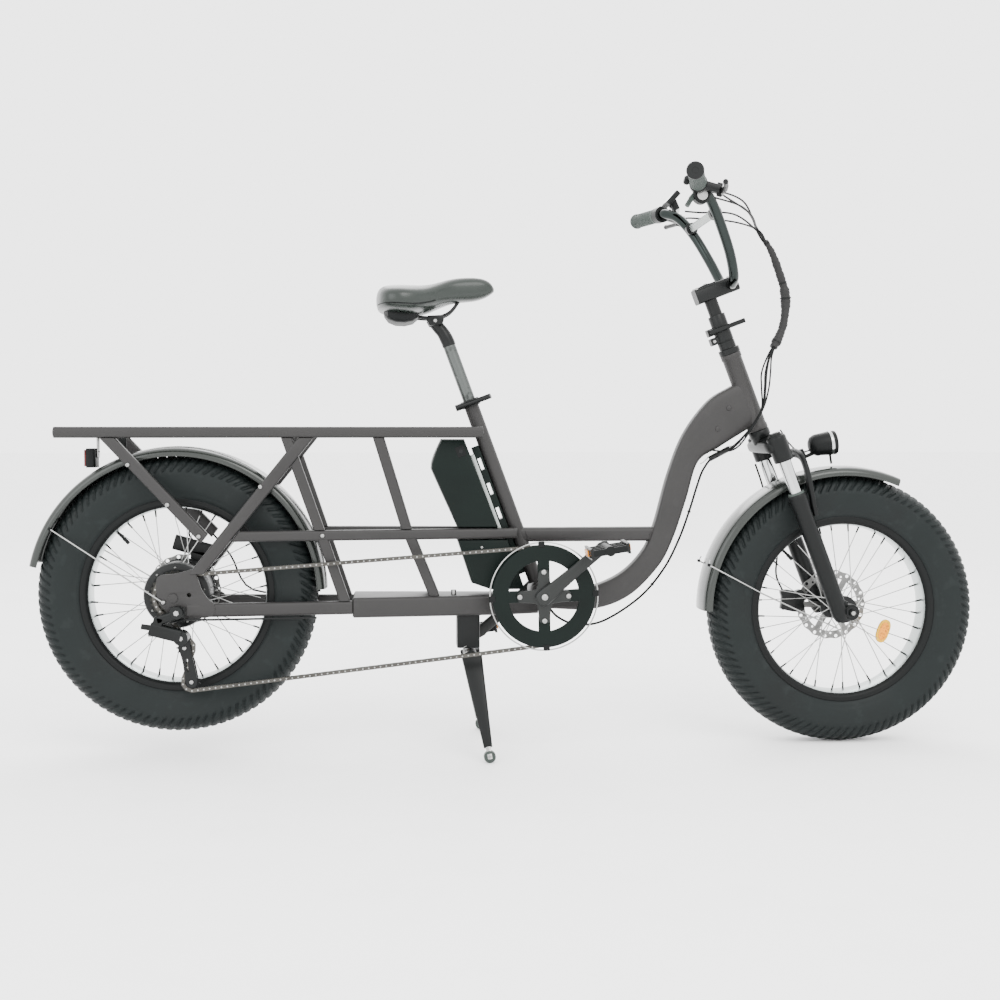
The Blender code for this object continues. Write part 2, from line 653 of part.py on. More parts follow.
def belt(circles):
    """The line of a belt round circles of (centre x, z, radius, +1 anticlockwise or -1)."""
    lines = []
    count = len(circles)
    for i in range(count):
        ax, az, ar, turn_a = circles[i]
        bx, bz, br, turn_b = circles[(i + 1) % count]
        heading = math.atan2(bz - az, bx - ax)
        normal = heading + math.acos((turn_b * br - turn_a * ar) / math.hypot(bx - ax, bz - az))
        nx, nz = math.cos(normal), math.sin(normal)
        lines.append(((ax - turn_a * ar * nx, az - turn_a * ar * nz),
                      (bx - turn_b * br * nx, bz - turn_b * br * nz)))
    points = []
    for i, (cx, cz, radius, turn) in enumerate(circles):
        arrive = lines[i - 1][1]
        leave = lines[i][0]
        a = math.atan2(arrive[1] - cz, arrive[0] - cx)
        b = math.atan2(leave[1] - cz, leave[0] - cx)
        sweep = ((b - a) * turn) % (2.0 * math.pi)
        pieces = max(2, int(sweep / math.radians(22.0)))
        for step in range(pieces + 1):
            angle = a + turn * sweep * step / pieces
            points.append((cx + radius * math.cos(angle), cz + radius * math.sin(angle)))
    return points


def chain():
    wheels = [(BB_X, BB_Z, CHAINRING_RADIUS, 1), (0.0, REAR_AXLE_Z, 0.0450, 1),
              (*JOCKEY_UPPER, 0.0200, -1), (*JOCKEY_LOWER, 0.0200, 1)]
    points = [at(x, chain_y(x), z) for x, z in belt(wheels)]
    pipe("chain", points, 0.0040, "silver", sides=1, closed=True)


def crankset():
    """The spindle, spider, both crank arms and the pedal axles."""
    centre = at(BB_X, 0, BB_Z)
    body = rod("crankset", at(BB_X, -0.118, BB_Z), at(BB_X, 0.118, BB_Z), 0.0120, "black_metal", 20)
    parts = []
    for side in (-1, 1):
        way = Vector((math.cos(CRANK_ANGLE), 0.0, math.sin(CRANK_ANGLE))) * -side
        inner = centre + ACROSS * (side * CRANK_Y)
        eye = inner + way * CRANK_LENGTH
        half = ACROSS * (side * 0.0070)
        parts.append(rod("boss", inner - half, inner + half, 0.0180, "black_metal", 20))
        parts.append(rod("eye", eye - half, eye + half, 0.0140, "black_metal", 16))
        parts.append(bar("arm", inner, eye, 0.030, 0.0125, "black_metal", taper=0.8, corner=0.003))
        parts.append(rod("axle", eye, eye + ACROSS * (side * (PEDAL_OUT_Y - CRANK_Y - 0.004)), 0.0065,
                         "black_metal", 12))
    star = []
    for quarter in range(4):
        aim = math.radians(90.0 * quarter + 2.0)
        for reach, off in ((0.0160, -45.0), (0.0820, -6.5), (0.0820, 6.5)):
            angle = aim + math.radians(off)
            star.append((BB_X + reach * math.cos(angle), BB_Z + reach * math.sin(angle)))
    parts.append(plate("spider", [star], -0.1058, 0.0025, "black_metal"))
    pivot(join(body, parts), centre)


def chainring():
    centre = at(BB_X, 0, BB_Z)
    profile = [(0.1000, -0.0885), (0.1000, -0.0972), (0.1110, -0.0976), (0.1110, -0.1004),
               (0.0760, -0.1004), (0.0760, -0.0940), (0.0900, -0.0885)]
    pivot(turned("chainring", profile, centre, ACROSS, "black_metal", 36, closed=True), centre)


def pedal(side, name):
    way = Vector((math.cos(CRANK_ANGLE), 0.0, math.sin(CRANK_ANGLE))) * -side
    eye = at(BB_X, 0, BB_Z) + way * CRANK_LENGTH
    inner = eye + ACROSS * (side * PEDAL_IN_Y)
    outer = eye + ACROSS * (side * PEDAL_OUT_Y)
    tilt = Vector((math.cos(math.radians(9.0)), 0.0, math.sin(math.radians(9.0))))
    middle = (inner + outer) / 2
    body = bar(name, middle - tilt * 0.046, middle + tilt * 0.046, 0.024, PEDAL_OUT_Y - PEDAL_IN_Y,
               "black_plastic", corner=0.003)
    bore = rod("bore", eye + ACROSS * (side * (PEDAL_IN_Y - 0.01)),
               eye + ACROSS * (side * (PEDAL_OUT_Y + 0.01)), 0.0068, "black_plastic", 12)
    pivot(cut(body, [bore]), inner)


def derailleur():
    """The gear changer's body, and the sprung cage with its two jockey wheels."""
    body = bar("derailleur_body", at(0.006, -0.108, 0.322), at(CAGE_PIVOT[0] - 0.012, -0.106, 0.268),
               0.030, 0.018, "black_metal", corner=0.003)
    hanger = rod("hanger", at(0.010, -0.0925, 0.316), at(0.010, -0.118, 0.316), 0.0140, "black_metal", 16)
    knuckle = rod("knuckle", at(CAGE_PIVOT[0], -0.0790, CAGE_PIVOT[1]),
                  at(CAGE_PIVOT[0], -0.1150, CAGE_PIVOT[1]), 0.0150, "black_metal", 16)
    join(body, [hanger, knuckle])
    top = Vector((CAGE_PIVOT[0], 0, CAGE_PIVOT[1]))
    low = Vector((JOCKEY_LOWER[0], 0, JOCKEY_LOWER[1]))
    upper = Vector((JOCKEY_UPPER[0], 0, JOCKEY_UPPER[1]))
    outer = bar("derailleur_cage", at(top.x, -0.0765, top.z), at(low.x, -0.0765, low.z), 0.022, 0.0022,
                "black_metal", corner=0.0005)
    inner = bar("inner", at(upper.x, -0.0605, upper.z + 0.006), at(low.x, -0.0605, low.z), 0.018,
                0.0022, "black_metal", corner=0.0005)
    pins = [rod("pin", at(x, -0.0600, z), at(x, -0.0770, z), 0.0035, "black_metal", 10)
            for x, z in (JOCKEY_UPPER, JOCKEY_LOWER)]
    pivot(join(outer, [inner, *pins]), at(CAGE_PIVOT[0], -0.0765, CAGE_PIVOT[1]))
    for name, (x, z) in (("jockey_upper", JOCKEY_UPPER), ("jockey_lower", JOCKEY_LOWER)):
        y = chain_y(x)
        wheel = sleeve(name, at(x, y - 0.0022, z), at(x, y + 0.0022, z), 0.0152, 0.0039,
                       "black_plastic", 16)
        pivot(wheel, at(x, y, z))


def centre_stand():
    """A two-legged stand that swings back and up about a cross pin."""
    body = rod("centre_stand", at(STAND_X, -0.048, STAND_Z), at(STAND_X, 0.048, STAND_Z), 0.0150,
               "black_metal", 20)
    parts = []
    for side in (-1, 1):
        hip = at(STAND_X + 0.002, side * 0.044, STAND_Z + 0.002)
        foot = at(FOOT_X, side * FOOT_Y, FOOT_RADIUS)
        ankle = foot + (hip - foot).normalized() * 0.020
        parts.append(bar("leg", hip, ankle, 0.044, 0.016, "black_metal", taper=0.42, corner=0.003))
        parts.append(bar("fork", ankle + (hip - foot).normalized() * 0.01, foot, 0.012, 0.012,
                         "black_metal", corner=0.002))
        parts.append(rod("roller", foot - ACROSS * 0.008, foot + ACROSS * 0.008, FOOT_RADIUS,
                         "black_metal", 20))
    pivot(join(body, parts), at(STAND_X, 0, STAND_Z))


# ---------------------------------------------------------------- saddle

def seat_post():
    base = seat(0.300)
    top = seat((0.900 - BB_Z) / SEAT_UP.z)
    post = rod("seat_post", base, top, 0.0136, "silver", 20)
    head = bar("head", top - SEAT_UP * 0.006, at(0.558, 0, 0.9480), 0.030, 0.032, "black_metal",
               end_cut=Vector((0, 0, 1)), corner=0.004)
    pivot(join(post, [head]), base)


def saddle():
    """The saddle as one plain cushion: oval sections from the wide tail to the nose."""
    sections = [(0.430, 0.045, 0.990, 0.965), (0.440, 0.085, 1.002, 0.948), (0.470, 0.112, 1.008, 0.934),
                (0.505, 0.108, 1.009, 0.935), (0.530, 0.092, 1.009, 0.946), (0.565, 0.060, 1.018, 0.962),
                (0.600, 0.040, 1.028, 0.974), (0.640, 0.030, 1.031, 0.980), (0.668, 0.024, 1.025, 0.990),
                (0.683, 0.013, 1.012, 1.000)]
    shape = bmesh.new()
    rings = []
    for x, half, top, low in sections:
        ring = []
        for step in range(12):
            angle = 2.0 * math.pi * step / 12
            side = math.cos(angle)
            rise = math.sin(angle)
            height = (top + low) / 2 + rise * (top - low) / 2
            ring.append(shape.verts.new(at(x, half * side, height)))
        rings.append(ring)
    for a, b in zip(rings, rings[1:]):
        for i in range(12):
            j = (i + 1) % 12
            shape.faces.new((a[i], a[j], b[j], b[i]))
    shape.faces.new(rings[0])
    shape.faces.new(list(reversed(rings[-1])))
    smooth(from_bmesh("saddle", shape, "saddle_vinyl"), 60.0)


# ---------------------------------------------------------------- fork and cockpit

def fork_crown():
    """The steerer, crown and both stanchions."""
    steerer = rod("fork_crown", steer(0, 0, 0.380), steer(0, 0, HEAD_TOP - 0.008), 0.0143,
                  "fork_steel", 20)
    race = rod("race", steer(0, 0, 0.398), steer(0, 0, HEAD_BOTTOM - GAP), 0.0215, "fork_steel", 24)
    bridge = bar("bridge", steer(0.004, -LEG_Y, 0.390), steer(0.004, LEG_Y, 0.390), 0.030, 0.044,
                 "fork_steel", corner=0.004, side=STEER_FORWARD)
    parts = [race, bridge]
    for side in (-1, 1):
        parts.append(rod("socket", steer(LEG_LEAD, side * LEG_Y, 0.352),
                         steer(LEG_LEAD, side * LEG_Y, 0.412), 0.0215, "fork_steel", 20))
        parts.append(rod("stanchion", steer(LEG_LEAD, side * LEG_Y, 0.176),
                         steer(LEG_LEAD, side * LEG_Y, 0.360), 0.0140, "silver", 20))
    pivot(join(steerer, parts), steer(0, 0, HEAD_BOTTOM))


def fork_lowers():
    """Both sliding legs, the arch over the tyre, the axle lugs and the front caliper."""
    profile = [(0.0, 0.125), (0.0146, 0.125), (0.0146, 0.301), (0.0195, 0.301), (0.0190, 0.010),
               (0.0130, 0.0), (0.0, 0.0)]
    legs = [turned("fork_lowers" if side < 0 else "leg", profile, steer(LEG_LEAD, side * LEG_Y, -0.025),
                   STEER_UP, "fork_steel", 20) for side in (-1, 1)]
    route = [steer(0.036, -0.080, 0.225), steer(0.043, -0.080, 0.285), steer(0.052, -0.072, 0.320),
             steer(0.056, -0.045, 0.345), steer(0.057, 0.0, 0.352)]
    route += [mirrored(-1, point) for point in reversed(route[:-1])]
    arch = pipe("arch", spline(route, 3), 0.0090, "fork_steel", sides=2)
    lugs = [rod("lug", steer(AXLE_LEAD, side * 0.0655, AXLE_RISE),
                steer(AXLE_LEAD, side * 0.0930, AXLE_RISE), 0.0180, "fork_steel", 20)
            for side in (-1, 1)]
    parts = [legs[1], arch, *lugs]
    centre = at(WHEELBASE, 0, FRONT_AXLE_Z)
    body = box("caliper", centre + Vector((-0.118, 0.0460, -0.018)),
               centre + Vector((-0.060, 0.0660, 0.036)), "fork_steel", 0.004)
    slot = rod("slot", centre + ACROSS * 0.0510, centre + ACROSS * 0.0570, 0.0830, "fork_steel", 32)
    arm = bar("arm", centre + Vector((-0.085, 0.0630, 0.010)), centre + Vector((-0.030, 0.0690, 0.030)),
              0.022, 0.008, "fork_steel", corner=0.001)
    parts += [cut(body, [slot]), arm]
    pivot(join(legs[0], parts), steer(LEG_LEAD, 0, 0))


def stem_parts():
    profile = [(0.0, 0.0033), (0.0149, 0.0033), (0.0149, 0.0913), (0.0190, 0.0913), (0.0190, 0.0130),
               (0.0235, 0.0130), (0.0235, 0.0), (0.0, 0.0)]
    base = steer(0, 0, HEAD_TOP + GAP)
    post = turned("stem_post", profile, base, STEER_UP, "black_metal", 24)
    ears = bar("ears", steer(-0.0340, 0, 0.664), steer(-0.0170, 0, 0.664), 0.052, 0.020, "black_metal",
               corner=0.002)
    bore = rod("bore", steer(0, 0, 0.63), steer(0, 0, 0.72), 0.0149, "black_metal", 24)
    pivot(join(post, [cut(ears, [bore])]), base)
    lever = bar("post_lever", steer(-0.028, -0.0165, 0.668), steer(0.058, -0.0400, 0.668), 0.010, 0.008,
                "black_metal", taper=0.8, corner=0.002)
    pivot(lever, steer(-0.028, -0.0165, 0.668))
    post = rod("stem", steer(0, 0, 0.632), steer(0, 0, 0.745), 0.0145, "black_metal", 24)
    block = bar("block", steer(-0.031, 0, STEM_HEIGHT), steer(0.067, 0, STEM_HEIGHT), 0.034, 0.042,
                "black_metal", corner=0.004)
    bore = rod("bore", steer(BAR_LEAD, -0.05, STEM_HEIGHT), steer(BAR_LEAD, 0.05, STEM_HEIGHT),
               BAR_RADIUS + GAP, "black_metal", 20)
    pivot(cut(join(post, [block]), [bore]), steer(0, 0, 0.70))


def handlebar():
    """The bar: straight through the stem, up in a riser each side, then straight to its tip."""
    riser = [steer(BAR_LEAD, 0.034, STEM_HEIGHT), at(1.202, 0.064, 1.036), at(1.186, 0.092, 1.080),
             at(1.160, 0.118, 1.135), at(1.138, 0.140, 1.172), at(1.119, 0.161, 1.194),
             grip_line(1, 0.150)]
    half = spline(riser, 2) + [grip_line(1, 0.0)]
    whole = [mirrored(-1, point) for point in reversed(half)] + half
    body = pipe("handlebar", whole, BAR_RADIUS, "black_metal", sides=2)
    height = at(1.147, 0, 1.160)
    brace = bar("brace", height - ACROSS * 0.126, height + ACROSS * 0.126, 0.016, 0.009, "silver",
                corner=0.002, side=STEER_FORWARD)
    pivot(join(body, [brace]), steer(BAR_LEAD, 0, STEM_HEIGHT))


def grip_line(side, reach):
    """A point on the handlebar's straight end, this far in from its tip."""
    tip = at(1.058, 0.330, 1.208)
    inner = at(1.092, 0.205, 1.205)
    return mirrored(side, tip + (inner - tip).normalized() * reach)


def grips_and_controls():
    for side, word in ((-1, "right"), (1, "left")):
        tip = grip_line(side, -0.003)
        along = (grip_line(side, 0.1) - grip_line(side, 0.0)).normalized()
        profile = [(0.0, 0.122), (0.0114, 0.122), (0.0114, 0.0025), (0.0, 0.0025)]
        bore = turned("bore", profile, tip, along, "grip_rubber", 20)
        outside = [(0.0, 0.1180), (0.0175, 0.1180), (0.0155, 0.1100), (0.0160, 0.0150), (0.0180, 0.0040),
                   (0.0160, 0.0), (0.0, 0.0)]
        grip = turned("grip_" + word, outside, tip, along, "grip_rubber", 20)
        pivot(cut(grip, [bore]), tip)
        perch_start = grip_line(side, 0.1190)
        control(side, word, perch_start, along)


def control(side, word, start, along):
    """A brake lever's perch round the handlebar, with its lever on a pin ahead of it."""
    ring = rod("control_" + word, start, start + along * 0.022, 0.0190, "black_metal", 20)
    ahead = Vector((0.966, 0.0, -0.259))
    body = bar("body", start + along * 0.011 + ahead * 0.010, start + along * 0.011 + ahead * 0.040,
               0.018, 0.022, "black_metal", corner=0.003)
    bore_start = start - along * 0.01
    bore = rod("bore", bore_start, start + along * 0.04, BAR_RADIUS + GAP, "black_metal", 20)
    pivot(cut(join(ring, [body]), [bore]), start)
    pin = start + along * 0.011 + ahead * 0.052
    reach = grip_line(side, 0.030) + ahead * 0.062
    lever = bar("brake_lever_" + word, pin, reach, 0.010, 0.012, "black_metal", taper=0.8, corner=0.002)
    pivot(lever, pin)


def shifter_and_display():
    start = grip_line(-1, 0.150)
    along = (grip_line(-1, 0.1) - grip_line(-1, 0.0)).normalized()
    down = Vector((-0.35, 0.0, -0.94))
    lever = bar("shift_lever", start + down * 0.018, start + down * 0.050 - ACROSS * 0.010, 0.012, 0.010,
                "black_plastic", taper=0.7, corner=0.002)
    pivot(lever, start + down * 0.018)
    place_on = at(1.118, 0.118, 1.215)
    lean = Vector((0.022, 0, 0.026))
    bar("display", place_on - lean, place_on + lean, 0.012, 0.062, "black_plastic", corner=0.003)


def cable_harness():
    """The cables from the handlebar, in one wrap past the head tube, to the bottom bracket."""
    route = [at(1.208, -0.035, 1.172), at(1.250, -0.030, 1.152), at(1.287, -0.018, 1.112),
             at(1.318, -0.006, 1.050), at(1.336, 0.000, 0.985), at(1.330, -0.006, 0.930),
             at(1.303, -0.018, 0.880), at(1.284, -0.030, 0.830), at(1.280, -0.036, 0.775),
             at(1.262, -0.036, 0.720), at(1.220, -0.034, 0.672), at(1.165, -0.031, 0.628),
             at(1.133, -0.012, 0.560), at(1.098, -0.004, 0.465), at(1.062, -0.003, 0.392),
             at(1.010, -0.003, 0.330), at(0.930, -0.003, 0.276), at(0.850, -0.003, 0.285)]
    wrap = {2: 0.7, 3: 1.0, 4: 1.15, 5: 1.0, 6: 1.0}
    points = spline(route, 2)
    widths = []
    for i in range(len(points)):
        a = wrap.get(i // 2, 0.36)
        b = wrap.get(i // 2 + 1, 0.36) if i % 2 else a
        widths.append((a + b) / 2)
    pipe("cable_harness", points, 0.0095, "black_plastic", sides=2, widths=widths)


def headlight():
    """The lamp on its bracket in front of the fork arch."""
    face = at(1.452, 0, 0.672)
    back = at(1.392, 0, 0.664)
    way = (face - back).normalized()
    length = (face - back).length
    profile = [(0.0, length), (0.026, length), (0.027, length - 0.014), (0.024, 0.012), (0.018, 0.0),
               (0.0, 0.0)]
    body = turned("headlight", profile, back, way, "black_plastic", 24)
    arm = pipe("arm", [steer(0.0668, 0, 0.350), steer(0.0770, 0, 0.350), at(1.400, 0, 0.666)], 0.005,
               "black_plastic")
    join(body, [arm])


# ---------------------------------------------------------------- build

def build():
    rear_centre = at(0, 0, REAR_AXLE_Z)
    front_centre = at(WHEELBASE, 0, FRONT_AXLE_Z)
    head_tube()
    main_tube()
    mid_tube()
    seat_tube()
    lower_tube()
    deck_frame()
    for side, word in ((-1, "right"), (1, "left")):
        chainstay(side, "chainstay_" + word)
        mid_rail(side, "mid_rail_" + word)
        struts(side, word)
    seat_collar()
    battery()
    fender("rear_fender", rear_centre, FENDER_RADIUS, 2.0, 166.0, "fender_gloss", 22)
    rear_light()
    tyre("rear_tyre", rear_centre)
    tyre("front_tyre", front_centre)
    rim("rear_rim", rear_centre)
    rim("front_rim", front_centre)
    spokes("rear_spokes", rear_centre, 0.0700, 0.030)
    spokes("front_spokes", front_centre, 0.0300, 0.038)
    hub_motor(rear_centre)
    front_hub(front_centre)
    cassette(rear_centre)
    chain()
    crankset()
    chainring()
    pedal(-1, "pedal_right")
    pedal(1, "pedal_left")
    derailleur()
    centre_stand()
    seat_post()
    saddle()
    fork_crown()
    fork_lowers()
    fender("front_fender", front_centre, FENDER_RADIUS, 67.0, 113.0, "fender_gloss", 16)
    stem_parts()
    handlebar()
    grips_and_controls()
    shifter_and_display()
    cable_harness()
    headlight()


build()
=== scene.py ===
"""The visible cargo bicycle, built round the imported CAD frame: finer shapes and finished materials.

Metres, +Z up, +X forward, +Y to the rider's left. at() measures from the rear axle forward.
"""
import math

import bmesh
import bpy
from mathutils import Matrix, Vector


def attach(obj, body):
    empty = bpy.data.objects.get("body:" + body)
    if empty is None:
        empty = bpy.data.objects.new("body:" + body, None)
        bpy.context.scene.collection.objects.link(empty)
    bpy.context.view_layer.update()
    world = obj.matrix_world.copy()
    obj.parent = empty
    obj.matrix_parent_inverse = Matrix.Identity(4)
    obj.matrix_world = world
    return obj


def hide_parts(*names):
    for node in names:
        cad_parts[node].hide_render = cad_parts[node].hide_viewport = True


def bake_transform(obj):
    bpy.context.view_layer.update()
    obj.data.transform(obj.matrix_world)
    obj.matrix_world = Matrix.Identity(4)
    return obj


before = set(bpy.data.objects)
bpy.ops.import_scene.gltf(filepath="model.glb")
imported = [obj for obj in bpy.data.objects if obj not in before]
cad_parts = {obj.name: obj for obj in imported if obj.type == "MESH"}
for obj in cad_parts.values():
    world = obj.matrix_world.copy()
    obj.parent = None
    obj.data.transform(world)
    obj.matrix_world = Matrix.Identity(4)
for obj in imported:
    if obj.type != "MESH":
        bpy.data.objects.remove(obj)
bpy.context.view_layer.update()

# Driving dimensions, the same as in part.py
REAR_AXLE_X = -0.724
WHEELBASE = 1.464
TYRE_RADIUS = 0.3
TYRE_HALF_WIDTH = 0.049
RIM_RADIUS = 0.2067
RIM_HALF_WIDTH = 0.036
REAR_AXLE_Z = 0.345
FRONT_AXLE_Z = TYRE_RADIUS
FENDER_RADIUS = 0.3165
FENDER_HALF_WIDTH = 0.052
SPOKES = 36
STEER_TILT = math.radians(21.0)
STEER_FOOT_X = 1.4297
AXLE_LEAD = 0.0324
AXLE_RISE = -0.0124
LEG_LEAD = 0.0105
LEG_Y = 0.08
HEAD_BOTTOM = 0.4285
HEAD_TOP = 0.6084
STEM_HEIGHT = 0.752
BAR_LEAD = 0.05
BAR_RADIUS = 0.011
BB_X = 0.786
BB_Z = 0.343
SEAT_LEAN = 0.368
SEAT_TOP_Z = 0.762
CRANK_LENGTH = 0.165
CRANK_ANGLE = math.radians(40.0)
CRANK_Y = 0.112
PEDAL_IN_Y = 0.125
PEDAL_OUT_Y = 0.215
CHAINRING_RADIUS = 0.1064
CHAIN_FRONT_Y = -0.092
CHAIN_REAR_Y = -0.067
SPROCKET_RADIUS = 0.045
DECK_Z = 0.6946
DECK_Y = 0.075
DECK_REAR = -0.245
DECK_FRONT = 0.656
RAIL_HEIGHT = 0.0236
RAIL_WIDTH = 0.02
MID_Z = 0.474
STAY_Z = 0.3176
STAY_HEIGHT = 0.029
DROPOUT_Y = 0.088
LOWER_REAR = 0.3755
LOWER_TOP = 0.339
STRUT_WIDTH = 0.022
STRUT_DEPTH = 0.018
LONG_STRUT_WIDTH = 0.026
STAND_X = 0.632
STAND_Z = 0.203
FOOT_X = 0.665
FOOT_Y = 0.163
FOOT_RADIUS = 0.0127
JOCKEY_UPPER = (0.02, 0.236)
JOCKEY_LOWER = (0.034, 0.163)
CAGE_PIVOT = (0.018, 0.262)

CHAIN_PITCH = 0.0127
CHAINRING_TEETH = 46
JOCKEY_RADIUS = 0.0195
TREAD_BLOCKS = 96
ROTOR_RADIUS = 0.079
ROTOR_HOLES = 18
FENDER_DROP = 0.0165
FRONT_ROTOR_Y = 0.054
REAR_ROTOR_Y = 0.067
CAMERA_PLACE = (0.47868, -2.99392, 0.69905)
CAMERA_TURN = math.radians(4.199)
CAMERA_DIP = math.radians(2.934)
CAMERA_LENS = 49.03

ACROSS = Vector((0.0, 1.0, 0.0))
LEVEL = Vector((0.0, 0.0, 1.0))
FORWARD = Vector((1.0, 0.0, 0.0))
SEAT_UP = Vector((-SEAT_LEAN, 0.0, 1.0)).normalized()
SEAT_FORWARD = Vector((SEAT_UP.z, 0.0, -SEAT_UP.x))
STEER_UP = Vector((-math.sin(STEER_TILT), 0.0, math.cos(STEER_TILT)))
STEER_FORWARD = Vector((math.cos(STEER_TILT), 0.0, math.sin(STEER_TILT)))


def at(x, y, z):
    return Vector((x + REAR_AXLE_X, y, z))


def steer(x, y, z):
    return at(STEER_FOOT_X, y, FRONT_AXLE_Z) + STEER_FORWARD * x + STEER_UP * z


def seat(distance, ahead=0.0, side=0.0):
    return at(BB_X, side, BB_Z) + SEAT_UP * distance + SEAT_FORWARD * ahead


def mirrored(side, point):
    return Vector((point.x, point.y * side, point.z))


# ---------------------------------------------------------------- camera, floor, light

def studio():
    """The camera at the photographed angle, a pale floor and soft lights."""
    data = bpy.data.cameras.new("camera")
    data.sensor_width = 36.0
    data.lens = CAMERA_LENS
    camera = bpy.data.objects.new("camera", data)
    bpy.context.scene.collection.objects.link(camera)
    right = Vector((math.cos(CAMERA_TURN), -math.sin(CAMERA_TURN), 0.0))
    up = Vector((math.sin(CAMERA_TURN) * math.sin(CAMERA_DIP), math.cos(CAMERA_TURN) * math.sin(CAMERA_DIP),
        math.cos(CAMERA_DIP)))
    back = right.cross(up)
    camera.matrix_world = Matrix.Translation(at(*CAMERA_PLACE)) @ Matrix((right, up,
        back)).transposed().to_4x4()
    bpy.context.scene.camera = camera

    world = bpy.data.worlds.new("studio")
    world.use_nodes = True
    background = world.node_tree.nodes["Background"]
    background.inputs["Color"].default_value = (1.0, 1.0, 1.0, 1.0)
    background.inputs["Strength"].default_value = 3.6
    bpy.context.scene.world = world

    for name, place, size, power, colour in (("key", (1.2, -3.2, 3.4), 2.6, 110.0, (1.0, 0.99, 0.97)),
            ("fill", (-2.6, -2.6, 1.8), 2.4, 40.0, (0.97, 0.99, 1.0)),
            ("back", (0.4, 3.0, 3.0), 3.0, 80.0, (1.0, 1.0, 1.0))):
        lamp = bpy.data.lights.new(name, "AREA")
        lamp.shape = "DISK"
        lamp.size = size
        lamp.energy = power
        lamp.color = colour
        item = bpy.data.objects.new(name, lamp)
        bpy.context.scene.collection.objects.link(item)
        item.location = place
        item.rotation_euler = (Vector((0.0, 0.0, 0.5)) - Vector(place)).to_track_quat("-Z", "Y").to_euler()

    shape = bmesh.new()
    bmesh.ops.create_grid(shape, x_segments=2, y_segments=2, size=40.0)
    mesh = bpy.data.meshes.new("floor")
    shape.to_mesh(mesh)
    shape.free()
    floor = bpy.data.objects.new("floor", mesh)
    bpy.context.scene.collection.objects.link(floor)
    floor.location.z = -0.0004
    mesh.materials.append(finish("floor_white", (0.93, 0.93, 0.93), rough=0.7, grain=3.0, tone=0.01))


# ---------------------------------------------------------------- materials

def finish(name, colour, rough=0.5, metal=0.0, grain=400.0, tone=0.15, bump=0.05, depth=0.0004, spread=0.12,
        coat=0.0, wear=None, stretch=None, shine=0.25):
    """A node material: fine noise varies the colour and roughness and drives a bump. wear adds
    a second colour in soft broken patches, and stretch draws the grain out along an axis."""
    made = bpy.data.materials.new(name)
    made.use_nodes = True
    tree = made.node_tree
    nodes = tree.nodes
    links = tree.links
    shader = nodes["Principled BSDF"]
    shader.inputs["Metallic"].default_value = metal
    shader.inputs["Specular IOR Level"].default_value = shine
    shader.inputs["Coat Weight"].default_value = coat
    shader.inputs["Coat Roughness"].default_value = 0.12
    where = nodes.new("ShaderNodeTexCoord")
    scale = nodes.new("ShaderNodeMapping")
    if stretch:
        scale.inputs["Scale"].default_value = stretch
    links.new(where.outputs["Object"], scale.inputs["Vector"])
    fine = nodes.new("ShaderNodeTexNoise")
    fine.inputs["Scale"].default_value = grain
    fine.inputs["Detail"].default_value = 4.0
    links.new(scale.outputs["Vector"], fine.inputs["Vector"])
    broad = nodes.new("ShaderNodeTexNoise")
    broad.inputs["Scale"].default_value = 9.0
    broad.inputs["Detail"].default_value = 3.0
    links.new(where.outputs["Object"], broad.inputs["Vector"])
    blend = nodes.new("ShaderNodeMath")
    blend.operation = "ADD"
    links.new(fine.outputs["Fac"], blend.inputs[0])
    links.new(broad.outputs["Fac"], blend.inputs[1])
    shade = nodes.new("ShaderNodeValToRGB")
    low, high = shade.color_ramp.elements
    low.position = 0.75
    high.position = 1.0
    low.color = (*(c * (1.0 - tone) for c in colour), 1.0)
    high.color = (*(min(1.0, c * (1.0 + tone)) for c in colour), 1.0)
    links.new(blend.outputs[0], shade.inputs["Fac"])
    tint = shade.outputs["Color"]
    if wear:
        patches = nodes.new("ShaderNodeTexNoise")
        patches.inputs["Scale"].default_value = 38.0
        patches.inputs["Detail"].default_value = 8.0
        links.new(where.outputs["Object"], patches.inputs["Vector"])
        mask = nodes.new("ShaderNodeMapRange")
        mask.inputs["From Min"].default_value = 0.58
        mask.inputs["From Max"].default_value = 0.7
        mask.inputs["To Max"].default_value = 0.5
        links.new(patches.outputs["Fac"], mask.inputs["Value"])
        mix = nodes.new("ShaderNodeMix")
        mix.data_type = "RGBA"
        links.new(mask.outputs["Result"], mix.inputs["Factor"])
        links.new(tint, mix.inputs[6])
        mix.inputs[7].default_value = (*wear, 1.0)
        tint = mix.outputs[2]
    links.new(tint, shader.inputs["Base Color"])
    gloss = nodes.new("ShaderNodeMapRange")
    gloss.inputs["From Min"].default_value = 0.3
    gloss.inputs["From Max"].default_value = 0.7
    gloss.inputs["To Min"].default_value = max(0.03, rough - spread / 2)
    gloss.inputs["To Max"].default_value = rough + spread / 2
    links.new(broad.outputs["Fac"], gloss.inputs["Value"])
    links.new(gloss.outputs["Result"], shader.inputs["Roughness"])
    relief = nodes.new("ShaderNodeBump")
    relief.inputs["Strength"].default_value = bump
    relief.inputs["Distance"].default_value = depth
    links.new(fine.outputs["Fac"], relief.inputs["Height"])
    links.new(relief.outputs["Normal"], shader.inputs["Normal"])
    return made


